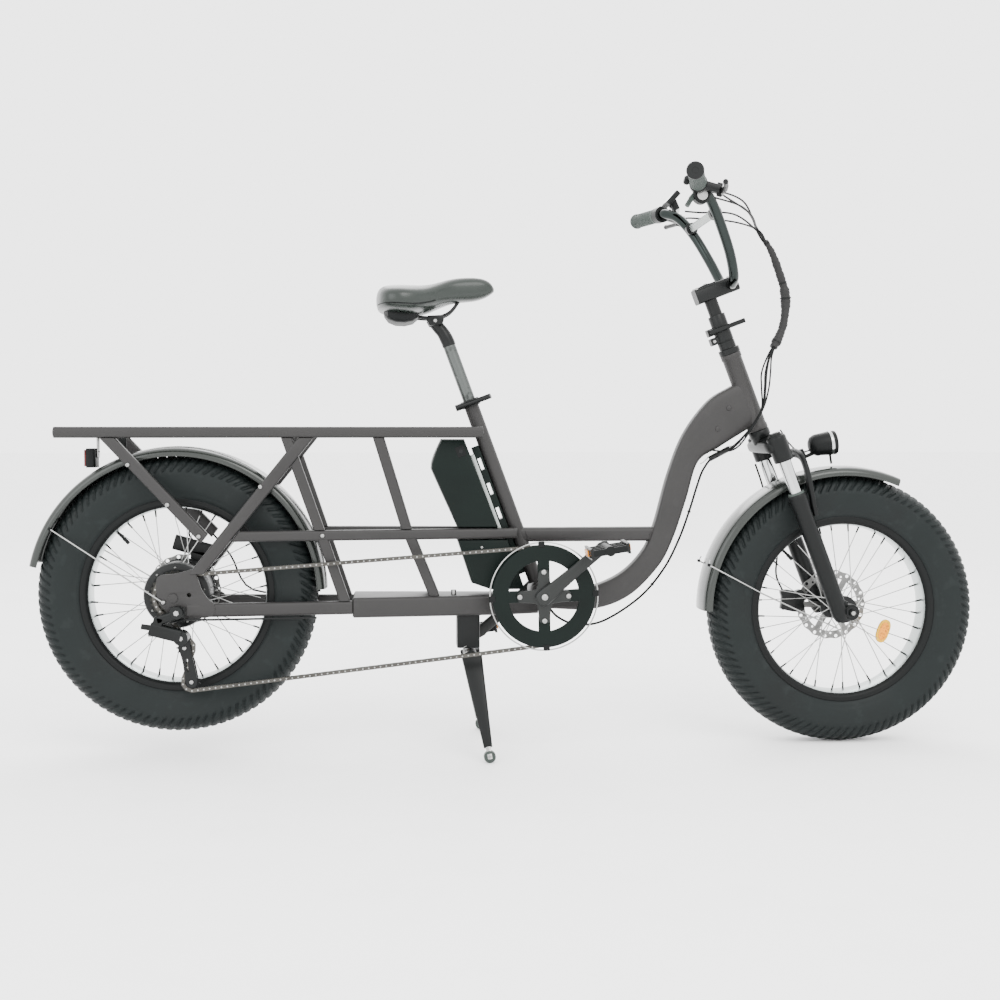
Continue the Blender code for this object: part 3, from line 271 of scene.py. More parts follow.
PAINT = finish("frame_satin", (0.0165, 0.0158, 0.0156), 0.46, 0.0, 900.0, 0.08, 0.1, spread=0.08,
    wear=(0.0205, 0.0198, 0.0196), shine=0.22)
BLACK = finish("black_anodised", (0.0035, 0.004, 0.004), 0.34, 0.0, 1200.0, 0.3, 0.1, shine=0.16)
FORK_BLACK = finish("fork_black", (0.003, 0.0035, 0.0035), 0.38, 0.0, 1000.0, 0.2, 0.12, shine=0.14)
GLOSS_BLACK = finish("bar_black_chrome", (0.02, 0.024, 0.023), 0.1, 1.0, 600.0, 0.15, 0.02, spread=0.05)
CRANK_GREY = finish("crank_grey", (0.008, 0.009, 0.0085), 0.36, 0.2, 1200.0, 0.2, 0.15, shine=0.25)
PLASTIC = finish("moulded_plastic", (0.0025, 0.003, 0.003), 0.46, 0.0, 1600.0, 0.25, 0.25, shine=0.12)
CASE = finish("battery_shell", (0.0015, 0.0038, 0.003), 0.38, 0.0, 1800.0, 0.25, 0.16, spread=0.08,
    shine=0.1)
TYRE = finish("tyre_rubber", (0.0038, 0.0056, 0.0055), 0.55, 0.0, 700.0, 0.2, 0.2, spread=0.16,
    wear=(0.009, 0.012, 0.0118), shine=0.15)
FENDER = finish("fender_gloss", (0.014, 0.0165, 0.0145), 0.24, 0.3, 300.0, 0.1, 0.03, spread=0.08, coat=0.3)
CHROME = finish("chrome", (0.46, 0.47, 0.47), 0.08, 1.0, 500.0, 0.03, 0.02, spread=0.04)
STEEL = finish("brushed_steel", (0.26, 0.26, 0.255), 0.3, 1.0, 300.0, 0.15, 0.1, stretch=(1.0, 12.0, 1.0))
ROTOR = finish("rotor_steel", (0.12, 0.12, 0.117), 0.3, 1.0, 300.0, 0.2, 0.1)
POST = finish("post_worn", (0.05, 0.054, 0.052), 0.3, 1.0, 90.0, 0.5, 0.15, depth=0.0003,
    wear=(0.26, 0.28, 0.27))
ALLOY = finish("rim_alloy", (0.36, 0.39, 0.385), 0.28, 0.9, 500.0, 0.08, 0.08)
CHAIN_STEEL = finish("chain_steel", (0.05, 0.048, 0.044), 0.36, 1.0, 900.0, 0.3, 0.15,
    wear=(0.03, 0.028, 0.026))
COG_STEEL = finish("cog_steel", (0.022, 0.022, 0.02), 0.38, 0.9, 900.0, 0.3, 0.15)
GRIP = finish("grip_rubber", (0.03, 0.038, 0.034), 0.52, 0.0, 900.0, 0.15, 0.4, shine=0.2)
VINYL = finish("saddle_vinyl", (0.0065, 0.01, 0.0078), 0.28, 0.0, 420.0, 0.15, 0.35, depth=0.0005,
    shine=0.35)
SHELL = finish("saddle_shell", (0.003, 0.0035, 0.0035), 0.5, 0.0, 900.0, 0.2, 0.2, shine=0.12)
LIGHT_GREY = finish("brace_grey", (0.26, 0.28, 0.27), 0.34, 0.6, 600.0, 0.08, 0.1)
AMBER = finish("amber_lens", (0.45, 0.15, 0.003), 0.2, 0.0, 260.0, 0.45, 0.6, depth=0.001)
YELLOW = finish("amber_rim", (0.5, 0.27, 0.006), 0.24, 0.0, 260.0, 0.15, 0.3)
RED = finish("red_lens", (0.085, 0.003, 0.0025), 0.16, 0.0, 300.0, 0.25, 0.4, depth=0.0008, coat=0.4)
CLEAR = finish("lamp_glass", (0.36, 0.39, 0.39), 0.1, 0.3, 220.0, 0.15, 0.5, depth=0.001, coat=0.6)
SCREEN = finish("display_glass", (0.012, 0.015, 0.015), 0.08, 0.1, 200.0, 0.1, 0.02, spread=0.04, coat=0.6)
CABLE = finish("cable_jacket", (0.003, 0.0035, 0.0035), 0.4, 0.0, 900.0, 0.2, 0.15, shine=0.14)
WRAP = finish("cable_wrap", (0.006, 0.006, 0.006), 0.58, 0.0, 600.0, 0.3, 0.6, depth=0.0008)


# ---------------------------------------------------------------- shapes

class Form:
    """A mesh gathered from simple shapes, then made into one piece on one CAD body."""

    def __init__(self):
        self.points = []
        self.faces = []
        self.slots = []

    def add(self, points, faces, slot=0):
        first = len(self.points)
        self.points.extend(points)
        self.faces.extend([tuple(i + first for i in face) for face in faces])
        self.slots.extend([slot] * len(faces))

    def loft(self, rings, slot=0, caps=True, closed=False):
        """Faces between rings of the same count of points."""
        count = len(rings[0])
        points = [point for ring in rings for point in ring]
        faces = []
        spans = len(rings) if closed else len(rings) - 1
        for a in range(spans):
            b = (a + 1) % len(rings)
            for i in range(count):
                j = (i + 1) % count
                faces.append((a * count + i, a * count + j, b * count + j, b * count + i))
        if caps and not closed:
            faces.append(tuple(reversed(range(count))))
            faces.append(tuple(range((len(rings) - 1) * count, len(rings) * count)))
        self.add(points, faces, slot)

    def tube(self, path, radius, sides=12, slot=0, closed=False):
        """A round tube along a path. radius is one figure, or one for each point."""
        radii = radius if isinstance(radius, list) else [radius] * len(path)
        rings = []
        normal = None
        for i, point in enumerate(path):
            if closed:
                way = path[(i + 1) % len(path)] - path[i - 1]
            else:
                way = path[min(i + 1, len(path) - 1)] - path[max(i - 1, 0)]
            way.normalize()
            if normal is None:
                normal = way.orthogonal().normalized()
            normal = (normal - way * normal.dot(way)).normalized()
            other = way.cross(normal)
            rings.append([point + (normal * math.cos(a) + other * math.sin(a)) * radii[i] for a in (
                2.0 * math.pi * k / sides for k in range(sides))])
        self.loft(rings, slot, closed=closed)

    def rod(self, start, end, radius, sides=16, slot=0, chamfer=0.0006):
        way = (end - start).normalized()
        chamfer = min(chamfer, radius * 0.4, (end - start).length * 0.3)
        self.tube([start, start + way * chamfer, end - way * chamfer, end],
            [radius - chamfer, radius, radius, radius - chamfer], sides, slot)

    def lathe(self, profile, base, axis, steps=48, slot=0, closed=False):
        """A profile of (radius, height) points turned about an axis."""
        axis = axis.normalized()
        normal = axis.orthogonal().normalized()
        other = axis.cross(normal)
        rings = []
        for k in range(steps):
            a = 2.0 * math.pi * k / steps
            out = normal * math.cos(a) + other * math.sin(a)
            rings.append([base + out * radius + axis * height for radius, height in profile])
        count = len(profile)
        faces = []
        for k in range(steps):
            n = (k + 1) % steps
            for i in range(count if closed else count - 1):
                j = (i + 1) % count
                faces.append((k * count + i, k * count + j, n * count + j, n * count + i))
        self.add([point for ring in rings for point in ring], faces, slot)

    def bar(self, start, end, width, depth, slot=0, start_cut=None, end_cut=None, taper=1.0, corner=0.004,
            side=ACROSS):
        """A rounded rectangular tube, its ends cut by planes."""
        along = (end - start).normalized()
        upright = along.cross(side).normalized()
        across = along.cross(upright)
        section = []
        for sx, sy, first in ((1, 1, 0), (-1, 1, 90), (-1, -1, 180), (1, -1, 270)):
            for k in range(4):
                a = math.radians(first + 30 * k)
                section.append((sx * (width / 2 - corner) + corner * math.cos(a),
                    sy * (depth / 2 - corner) + corner * math.sin(a)))
        rings = []
        lip = 0.0007
        for origin, cut, scale, inset, shift in ((start, start_cut, 1.0, 1.0 - 2.0 * lip / depth, 0.0),
                (start, start_cut, 1.0, 1.0, lip), (end, end_cut, taper, 1.0, -lip),
                (end, end_cut, taper, 1.0 - 2.0 * lip / depth, 0.0)):
            normal = cut or along
            ring = []
            for x, y in section:
                corner_point = start + upright * (x * scale * inset) + across * (y * scale * inset)
                reach = (origin - corner_point).dot(normal) / along.dot(normal)
                ring.append(corner_point + along * (reach + shift))
            rings.append(ring)
        self.loft(rings, slot)

    def flat(self, outlines, matrix, half, bevel=0.0, slot=0):
        """A flat plate from outlines in its own plane, holes included."""
        curve = bpy.data.curves.new("flat", "CURVE")
        curve.dimensions = "2D"
        curve.fill_mode = "BOTH"
        curve.extrude = half - bevel
        curve.bevel_depth = bevel
        curve.offset = -bevel
        curve.bevel_resolution = 1
        for outline in outlines:
            line = curve.splines.new("POLY")
            line.points.add(len(outline) - 1)
            line.use_cyclic_u = True
            for i, (x, z) in enumerate(outline):
                line.points[i].co = (x, z, 0.0, 1.0)
        item = bpy.data.objects.new("flat", curve)
        bpy.context.scene.collection.objects.link(item)
        bpy.context.view_layer.update()
        mesh = bpy.data.meshes.new_from_object(item.evaluated_get(bpy.context.evaluated_depsgraph_get()))
        bpy.data.objects.remove(item, do_unlink=True)
        self.add([matrix @ vertex.co for vertex in mesh.vertices],
            [tuple(face.vertices) for face in mesh.polygons], slot)
        bpy.data.meshes.remove(mesh)

    def plate(self, outlines, middle_y, half, bevel=0.0, slot=0):
        """A plate standing in the bicycle's plane, its outlines measured as by at()."""
        self.flat(outlines, upright_plane(REAR_AXLE_X, middle_y, 0.0), half, bevel, slot)

    def bolt(self, place, way, radius=0.005, height=0.0035, slot=1):
        """A button-head bolt with its hexagon socket."""
        way = way.normalized()
        r = radius
        self.lathe([(r, -0.002), (r, height * 0.3), (r * 0.85, height * 0.75), (r * 0.55, height),
            (r * 0.45, height), (r * 0.4, height * 0.4), (0.0, height * 0.4)], place, way, 12, slot)

    def make(self, name, body, materials, nodes=(), sharp=38.0, weld=True):
        mesh = bpy.data.meshes.new(name)
        mesh.from_pydata([tuple(point) for point in self.points], [], self.faces)
        for used in materials:
            mesh.materials.append(used)
        mesh.polygons.foreach_set("material_index", self.slots)
        shape = bmesh.new()
        shape.from_mesh(mesh)
        if weld:
            bmesh.ops.remove_doubles(shape, verts=shape.verts, dist=0.00001)
        bmesh.ops.recalc_face_normals(shape, faces=shape.faces)
        shape.to_mesh(mesh)
        shape.free()
        mesh.shade_smooth()
        mesh.set_sharp_from_angle(angle=math.radians(sharp))
        item = bpy.data.objects.new(name, mesh)
        bpy.context.scene.collection.objects.link(item)
        if body:
            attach(item, body)
        if nodes:
            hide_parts(*nodes)
        return item


def upright_plane(x, y, z):
    """Turns a flat outline's (x, y) into the bicycle's x and z, at this offset."""
    return Matrix.Translation((x, y, z)) @ Matrix.Rotation(math.radians(90.0), 4, "X")


def spline(points, steps):
    ends = [points[0] * 2.0 - points[1], *points, points[-1] * 2.0 - points[-2]]
    made = []
    for i in range(1, len(ends) - 2):
        a, b, c, d = ends[i - 1], ends[i], ends[i + 1], ends[i + 2]
        for step in range(steps):
            t = step / steps
            made.append((b * 2.0 + (c - a) * t + (a * 2.0 - b * 5.0 + c * 4.0 - d) * t * t + (
                b * 3.0 - a - c * 3.0 + d) * t * t * t) / 2.0)
    made.append(points[-1].copy())
    return made


def circle(centre, radius, count, start=0.0, sweep=360.0):
    spans = count if sweep == 360.0 else count - 1
    angles = [math.radians(start + sweep * i / spans) for i in range(count)]
    return [(centre[0] + radius * math.cos(a), centre[1] + radius * math.sin(a)) for a in angles]


def mid_rail_y(x):
    return 0.083 - (0.083 - 0.0265) * (x - 0.13) / (0.735 - 0.13)


def chainstay_y(x):
    return DROPOUT_Y - (DROPOUT_Y - 0.058) * x / LOWER_REAR


def weld_bead(form, centre, axis, radius, squash=1.0, thick=0.0022):
    """The rippled bead of a weld round a tube's end."""
    normal = axis.orthogonal().normalized()
    other = axis.cross(normal)
    steps = 96
    path = []
    radii = []
    for k in range(steps):
        a = 2.0 * math.pi * k / steps
        path.append(centre + normal * (radius * math.cos(a)) + other * (radius * squash * math.sin(a)))
        radii.append(thick * (0.85 + 0.15 * math.cos(k * math.pi / 1.5)))
    form.tube(path, radii, 6, closed=True)


# ---------------------------------------------------------------- frame

def build_frame():
    """Head tube, swan-neck main tube, mid tube, seat tube, lower tube and their welds."""
    form = Form()
    bottom = steer(0, 0, HEAD_BOTTOM)
    length = HEAD_TOP - HEAD_BOTTOM
    form.lathe([(0.0168, 0.0), (0.0225, 0.0), (0.023, 0.001), (0.023, 0.01), (0.0215, 0.012),
        (0.0215, length - 0.012), (0.023, length - 0.01), (0.023, length - 0.001), (0.0225, length),
        (0.0168, length)], bottom, STEER_UP, 64, closed=True)
    form.make("head_tube_skin", "frame", [PAINT], ["head_tube"])

    upper = [(1.232, 0.806), (1.205, 0.793), (1.158, 0.762), (1.105, 0.69), (1.07, 0.6), (1.04, 0.49),
        (1.015, 0.432), (0.962, 0.38), (0.88, 0.348), (0.8, 0.345)]
    lower = [(1.268, 0.712), (1.232, 0.69), (1.184, 0.66), (1.138, 0.628), (1.112, 0.544), (1.083, 0.458),
        (1.05, 0.396), (0.985, 0.332), (0.905, 0.303), (0.8, 0.305)]
    top = spline([Vector((x, 0, z)) for x, z in upper], 8)
    bottom = spline([Vector((x, 0, z)) for x, z in lower], 8)
    form = Form()
    rings = []
    for a, b in zip(top, bottom):
        middle = (a + b) / 2 + Vector((REAR_AXLE_X, 0, 0))
        half = (a - b) / 2
        power = 0.42
        ring = []
        for k in range(36):
            t = 2.0 * math.pi * k / 36
            c, s = math.cos(t), math.sin(t)
            ring.append(middle + half * math.copysign(abs(c) ** power, c)
                + ACROSS * (0.0205 * math.copysign(abs(s) ** power, s)))
        rings.append(ring)
    form.loft(rings)
    for x, z, side in ((1.2045, 0.748, -1), (1.18, 0.702, -1), (1.2045, 0.748, 1)):
        form.lathe([(0.0055, -0.001), (0.0055, 0.001), (0.0045, 0.0016), (0.0, 0.0016)],
            at(x, side * 0.0205, z), ACROSS * side, 20)
    form.make("main_tube_skin", "frame", [PAINT], ["main_tube"], sharp=60.0)

    form = Form()
    form.bar(at(seat_x(0.469), 0, 0.469), at(1.04, 0, 0.469), 0.0315, 0.03, corner=0.009)
    weld_bead(form, at(seat_x(0.469) + 0.0175, 0, 0.469), Vector((0.93, 0, 0.36)), 0.015, 1.04)
    weld_bead(form, at(1.0315, 0, 0.469), Vector((0.93, 0, -0.36)), 0.015, 1.04)
    form.make("mid_tube_skin", "frame", [PAINT], ["mid_tube"])

    form = Form()
    top_reach = (SEAT_TOP_Z - BB_Z) / SEAT_UP.z
    form.lathe([(0.0139, 0.0), (0.016, 0.0), (0.016, top_reach - 0.0245), (0.0139, top_reach - 0.0245)],
        seat(0.0245), SEAT_UP, 48, closed=True)
    weld_bead(form, seat(0.026), SEAT_UP, 0.017)
    form.make("seat_tube_skin", "frame", [PAINT], ["seat_tube"])

    form = Form()
    rings = []
    for x, half, low, high in ((LOWER_REAR, 0.064, 0.298, 0.336), (LOWER_REAR + 0.003, 0.067, 0.295, 0.339),
            (0.7, 0.042, 0.295, 0.339), (BB_X - 0.006, 0.034, 0.297, 0.337)):
        rings.append(rounded(at(x, 0, (low + high) / 2), half, (high - low) / 2, 0.008))
    form.loft(rings)
    form.lathe([(0.0165, -0.05), (0.022, -0.05), (0.0225, -0.049), (0.0225, 0.049), (0.022, 0.05),
        (0.0165, 0.05)], at(BB_X, 0, BB_Z), ACROSS, 56, closed=True)
    form.bar(at(0.627, 0, 0.295), at(0.627, 0, 0.2225), 0.05, 0.068, 2, corner=0.005)
    form.rod(at(0.595, -0.02, 0.339), at(0.595, -0.02, 0.35), 0.006, 20, 1)
    form.make("lower_tube_skin", "frame", [PAINT, STEEL, FORK_BLACK], ["lower_tube"])


def rounded(centre, half_y, half_z, corner):
    """A rounded rectangle across the bicycle, as a ring of points."""
    ring = []
    for sy, sz, first in ((1, 1, 0), (-1, 1, 90), (-1, -1, 180), (1, -1, 270)):
        for k in range(6):
            a = math.radians(first + 18 * k)
            ring.append(centre + Vector((0.0, sy * (half_y - corner) + corner * math.cos(a),
                sz * (half_z - corner) + corner * math.sin(a))))
    return ring


def seat_x(z):
    return BB_X - SEAT_LEAN * (z - BB_Z)


def build_deck():
    """The two long rails and the crossbars of the cargo deck."""
    form = Form()
    for side in (-1, 1):
        form.bar(at(DECK_REAR, side * DECK_Y, DECK_Z), at(DECK_FRONT, side * DECK_Y, DECK_Z), RAIL_HEIGHT,
            RAIL_WIDTH, corner=0.0065)
        for x in (DECK_REAR, DECK_FRONT):
            form.lathe([(0.0085, 0.0), (0.0085, 0.0012), (0.0, 0.0022)], at(x, side * DECK_Y, DECK_Z),
                FORWARD * (1 if x > 0 else -1), 24)
    for x, half in ((-0.232, 0.01), (-0.16, 0.009), (0.23, 0.01), (0.6276, 0.0075)):
        form.bar(at(x, -DECK_Y, DECK_Z), at(x, DECK_Y, DECK_Z), 0.018, 2 * half, corner=0.004, side=FORWARD)
        for side in (-1, 1):
            weld_bead(form, at(x, side * (DECK_Y - 0.0095), DECK_Z), ACROSS, half * 0.95, 0.9, 0.0018)
    form.make("deck_skin", "frame", [PAINT], ["deck_frame"])


def build_side(side, word):
    """One side's rails, struts, chainstay and dropout, with their bolts."""
    form = Form()
    form.bar(at(0.131, side * mid_rail_y(0.131), MID_Z), at(0.733, side * mid_rail_y(0.733), MID_Z),
        RAIL_HEIGHT - 0.001, RAIL_WIDTH, start_cut=Vector((0.786, 0.0, -0.618)), corner=0.0055)
    form.bar(at(0.311, side * mid_rail_y(0.311), MID_Z), at(0.359, side * 0.059, STAY_Z + STAY_HEIGHT / 2),
        STRUT_WIDTH, STRUT_DEPTH, end_cut=LEVEL)
    form.bar(at(0.4975, side * mid_rail_y(0.4975), MID_Z), at(0.552, side * 0.037, LOWER_TOP), STRUT_WIDTH,
        STRUT_DEPTH, end_cut=LEVEL)
    out = ACROSS * side
    form.bolt(at(0.313, side * (mid_rail_y(0.313) + 0.01), MID_Z), out, 0.0048)
    form.make("mid_rail_skin_" + word, "frame", [PAINT, STEEL], ["mid_rail_" + word])

    under = DECK_Z - RAIL_HEIGHT / 2
    above = MID_Z + RAIL_HEIGHT / 2
    top = at(0.279, side * DECK_Y, under)
    foot = at(0.048, side * 0.0845, 0.395)
    form = Form()
    form.bar(top, foot, LONG_STRUT_WIDTH, STRUT_DEPTH, start_cut=LEVEL, end_cut=LEVEL, corner=0.005)
    form.bar(at(0.2385, side * DECK_Y, under), at(0.252, side * 0.0755, 0.644), STRUT_WIDTH, STRUT_DEPTH,
        start_cut=LEVEL)
    form.bolt(at(0.1836, side * 0.0878, 0.5792), out, 0.0048)

    face = Vector((top.z - foot.z, 0.0, foot.x - top.x)).normalized()
    brace_top = at(0.2385, side * DECK_Y, under)
    brace_foot = at(0.306, side * mid_rail_y(0.306), above)
    way = brace_foot - brace_top
    reach = (LONG_STRUT_WIDTH / 2 - (brace_top - top).dot(face)) / way.dot(face)
    form.bar(brace_top + way * reach, brace_foot, STRUT_WIDTH, STRUT_DEPTH, start_cut=face, end_cut=LEVEL)
    form.make("long_strut_skin_" + word, "frame", [PAINT, STEEL], ["long_strut_" + word])

    form = Form()
    rear_top = at(-0.1345, side * DECK_Y, under)
    rear_foot = at(0.0655, side * 0.0828, 0.47)
    form.bar(rear_top, rear_foot, 0.024, STRUT_DEPTH, start_cut=LEVEL, end_cut=Vector((0.783, 0.0, -0.622)),
        corner=0.005)
    for x, y, z in ((-0.0919, 0.0857, 0.6262), (-0.0104, 0.0888, 0.5419), (0.0545, 0.0915, 0.475)):
        form.bolt(at(x, side * y, z), out, 0.0048)
    form.make("rear_strut_skin_" + word, "frame", [PAINT, STEEL], ["rear_strut_" + word])

    form = Form()
    form.bar(at(0.4325, side * DECK_Y, under), at(0.492, side * mid_rail_y(0.492), above), STRUT_WIDTH,
        STRUT_DEPTH, start_cut=LEVEL, end_cut=LEVEL)
    form.make("front_strut_skin_" + word, "frame", [PAINT], ["front_strut_" + word])

    form = Form()
    form.bar(at(0.028, side * chainstay_y(0.028), STAY_Z), at(LOWER_REAR, side * chainstay_y(LOWER_REAR),
        STAY_Z), STAY_HEIGHT, STRUT_DEPTH, end_cut=FORWARD, corner=0.006)
    outline = [Vector((x, 0, z)) for x, z in ((-0.034, 0.35), (-0.035, 0.38), (-0.026, 0.3935),
        (0.0, 0.396), (0.026, 0.402), (0.042, 0.404), (0.052, 0.385), (0.06, 0.362), (0.074, 0.341),
        (0.086, 0.33), (0.08, 0.305), (0.02, 0.3025), (-0.002, 0.306), (-0.018, 0.321), (-0.03, 0.336))]
    outline = spline(outline + [outline[0]], 4)[:-1]
    form.plate([[(p.x, p.z) for p in outline], circle((0.0331, 0.3513), 0.0046, 20)], side * DROPOUT_Y,
        0.004, 0.001)
    form.lathe([(0.01, 0.0), (0.0095, 0.003), (0.0, 0.003)], at(0, side * (DROPOUT_Y + 0.0035),
        REAR_AXLE_Z), out, 24)
    nodes = ["chainstay_" + word]
    if side > 0:
        form.bar(at(-0.022, 0.06675, 0.452), at(0.062, 0.06675, 0.428), 0.034, 0.0125, 2, corner=0.005)
        form.bar(at(0.014, 0.06675, 0.416), at(0.062, 0.06675, 0.41), 0.04, 0.0125, 2, corner=0.005)
        form.bar(at(0.04, 0.0785, 0.3945), at(0.04, 0.0785, 0.368), 0.03, 0.014, 2, corner=0.003)
        for x, z in ((0.022, 0.438), (0.052, 0.438), (0.037, 0.396)):
            form.bolt(at(x, 0.073, z), ACROSS, 0.004, 0.002)
        form.tube(spline([at(0.03, 0.066, 0.444), at(0.01, 0.07, 0.47), at(0.03, 0.074, 0.5),
            at(0.06, 0.078, 0.47), at(0.1, 0.078, 0.42), at(0.15, 0.076, 0.342), at(0.3, 0.066, 0.34)], 5),
            0.0022, 8, 3)
    form.make("chainstay_skin_" + word, "frame", [PAINT, STEEL, BLACK, CABLE], nodes)


def build_seat_and_battery():
    base = (SEAT_TOP_Z - BB_Z) / SEAT_UP.z
    form = Form()
    form.lathe([(0.0163, -0.012), (0.02, -0.012), (0.021, -0.01), (0.021, 0.002), (0.02, 0.004),
        (0.0163, 0.004)], seat(base), SEAT_UP, 48, closed=True)
    form.bar(seat(base - 0.004, -0.034), seat(base - 0.004, -0.0185), 0.014, 0.022, corner=0.003)
    form.rod(seat(base - 0.004, -0.028, -0.0135), seat(base - 0.004, -0.028, 0.0155), 0.0042, 16, 1)
    form.make("seat_collar_skin", "frame", [BLACK, STEEL], ["seat_collar"])
    form = Form()
    lever = [seat(base - 0.004, -0.033, -0.018), seat(base - 0.004, -0.01, -0.0262),
        seat(base - 0.004, 0.02, -0.0368), seat(base - 0.004, 0.044, -0.046)]
    form.tube(spline(lever, 5), [0.0062] * 6 + [0.0058] * 10, 12)
    form.make("seat_lever_skin", "collar_lever", [BLACK], ["seat_lever"])

    form = Form()
    edge = [Vector((x, z, 0)) for x, z in ((0.569, 0.68), (0.559, 0.66), (0.55, 0.638), (0.5465, 0.619),
        (0.552, 0.601), (0.603, 0.4875))]
    left = [(point.x, point.y) for point in spline(edge, 6)]
    form.plate([left + [(0.6915, 0.4875), (0.6175, 0.68)]], 0.0, 0.045, 0.0065)
    latch = seat(0.352, -0.058)
    form.bar(latch - SEAT_UP * 0.012, latch + SEAT_UP * 0.012, 0.022, 0.0915, 1, corner=0.003)
    form.rod(latch - ACROSS * 0.0462, latch + ACROSS * 0.0462, 0.005, 20, 2)
    form.make("battery_skin", "battery", [CASE, PLASTIC, BLACK], ["battery_case"])

    form = Form()
    strip = [seat(up, ahead) for up, ahead in ((0.052, -0.032), (0.35, -0.032), (0.35, -0.0165),
        (0.052, -0.0165))]
    windows = []
    for low in (0.181, 0.238, 0.296):
        corners = [seat(low, -0.0285), seat(low + 0.027, -0.0285), seat(low + 0.027, -0.0205),
            seat(low, -0.0205)]
        windows.append([(p.x - REAR_AXLE_X, p.z) for p in corners])
    form.plate([[(p.x - REAR_AXLE_X, p.z) for p in strip], *windows], 0.0, 0.016, 0.0008)
    rail = [seat(up, ahead) for up, ahead in ((0.15, -0.0408), (0.335, -0.0408), (0.335, -0.0322),
        (0.15, -0.0322))]
    form.plate([[(p.x - REAR_AXLE_X, p.z) for p in rail]], 0.0, 0.028, 0.001, 2)
    form.plate([[(0.603, 0.46), (0.634, 0.366), (0.676, 0.3515), (0.75, 0.3515), (0.712, 0.46)]], 0.0, 0.04,
        0.0035)
    form.plate([[(0.613, 0.452), (0.6395, 0.371), (0.678, 0.359), (0.738, 0.359), (0.707, 0.452)]], -0.0394,
        0.0012, 0.0006)
    form.bolt(at(0.656, -0.0402, 0.444), -ACROSS, 0.003, 0.0015)
    form.make("battery_base_skin", "frame", [CASE, STEEL, LIGHT_GREY], ["battery_base"])

    form = Form()
    bottom = seat(0.3)
    top = seat((0.9 - BB_Z) / SEAT_UP.z)
    form.rod(bottom, top - SEAT_UP * 0.01, 0.0136, 40)
    neck = [top - SEAT_UP * 0.018, top - SEAT_UP * 0.006, at(0.574, 0, 0.911), at(0.564, 0, 0.923),
        at(0.557, 0, 0.932)]
    form.tube(spline(neck, 5), [0.0148] * 8 + [0.0145, 0.0143, 0.014] + [0.0138] * 10, 28, 1)
    for side in (-1, 1):
        form.plate([[(0.544, 0.925), (0.572, 0.929), (0.575, 0.939), (0.574, 0.949), (0.54, 0.947),
            (0.538, 0.936)]], side * 0.02, 0.0075, 0.002, 1)
    form.rod(at(0.556, -0.029, 0.936), at(0.556, 0.029, 0.936), 0.008, 24, 1)
    form.rod(at(0.556, -0.031, 0.936), at(0.556, 0.031, 0.936), 0.0042, 6, 2)
    for side in (-1, 1):
        rail = [at(0.47, side * 0.036, 0.955), at(0.492, side * 0.028, 0.95), at(0.52, side * 0.022, 0.944),
            at(0.556, side * 0.02, 0.943), at(0.58, side * 0.0195, 0.95), at(0.595, side * 0.015, 0.962),
            at(0.607, side * 0.01, 0.979)]
        form.tube(spline(rail, 6), 0.0036, 12, 1)
    form.make("seat_post_skin", "saddle_and_post", [POST, BLACK, STEEL], ["seat_post"])


def build_saddle():
    """A padded saddle: crowned top with a middle groove, full sides and a moulded base."""
    stations = [(0.429, 0.03, 0.986, 0.97), (0.432, 0.055, 0.9955, 0.96), (0.44, 0.085, 1.003, 0.954),
        (0.455, 0.105, 1.007, 0.95), (0.48, 0.112, 1.0085, 0.947), (0.505, 0.106, 1.008, 0.9465),
        (0.525, 0.094, 1.0085, 0.95), (0.545, 0.077, 1.012, 0.956), (0.567, 0.058, 1.019, 0.965),
        (0.589, 0.044, 1.0258, 0.973), (0.611, 0.036, 1.0295, 0.977), (0.64, 0.03, 1.0306, 0.98),
        (0.662, 0.025, 1.0277, 0.986), (0.6766, 0.018, 1.02, 0.994), (0.6845, 0.008, 1.009, 1.0005)]
    rows = spline([Vector((x, half, top)) for x, half, top, _ in stations], 4)
    lows = spline([Vector((x, low, 0)) for x, _, _, low in stations], 4)
    count = 56
    form = Form()
    rings = []
    for row, low in zip(rows, lows):
        x, half, top = row
        bottom = low.y
        side = bottom + (top - bottom) * 0.46
        ring = []
        for k in range(count):
            a = 2.0 * math.pi * k / count
            c, s = math.cos(a), math.sin(a)
            y = half * math.copysign(abs(c) ** 0.8, c)
            share = abs(y) / half
            if s >= 0:
                groove = 0.005 * math.exp(-(y / 0.011) ** 2) * min(1.0, max(0.0, (0.6 - x) / 0.05))
                wing = 0.0035 * math.exp(-((share - 0.55) / 0.22) ** 2) * min(1.0, half / 0.1)
                z = side + (top - groove + wing - side) * abs(s) ** 0.6
            else:
                z = side + (bottom - side) * abs(s) ** 0.7
            ring.append(at(x, y, z))
        rings.append(ring)
    form.loft(rings)
    item = form.make("saddle_cover", "saddle_and_post", [VINYL], ["saddle"], sharp=75.0)

    form = Form()
    for side in (-1, 1):
        seam = [at(x, side * half * 0.995, (top + low.y) / 2 - 0.012) for (x, half, top),
            low in zip(rows[4:], lows[4:]) if x < 0.56]
        form.tube(seam, 0.001, 8)
    shell = []
    for x, half, top, low in ((0.445, 0.04, 0.96, 0.947), (0.454, 0.062, 0.962, 0.936),
            (0.47, 0.07, 0.962, 0.93), (0.49, 0.068, 0.962, 0.929), (0.508, 0.06, 0.96, 0.933),
            (0.52, 0.044, 0.958, 0.943)):
        shell.append(rounded(at(x, 0, (top + low) / 2), half, (top - low) / 2, (top - low) * 0.45))
    form.loft(shell)
    form.make("saddle_base", "saddle_and_post", [SHELL], ())

# ---------------------------------------------------------------- wheels

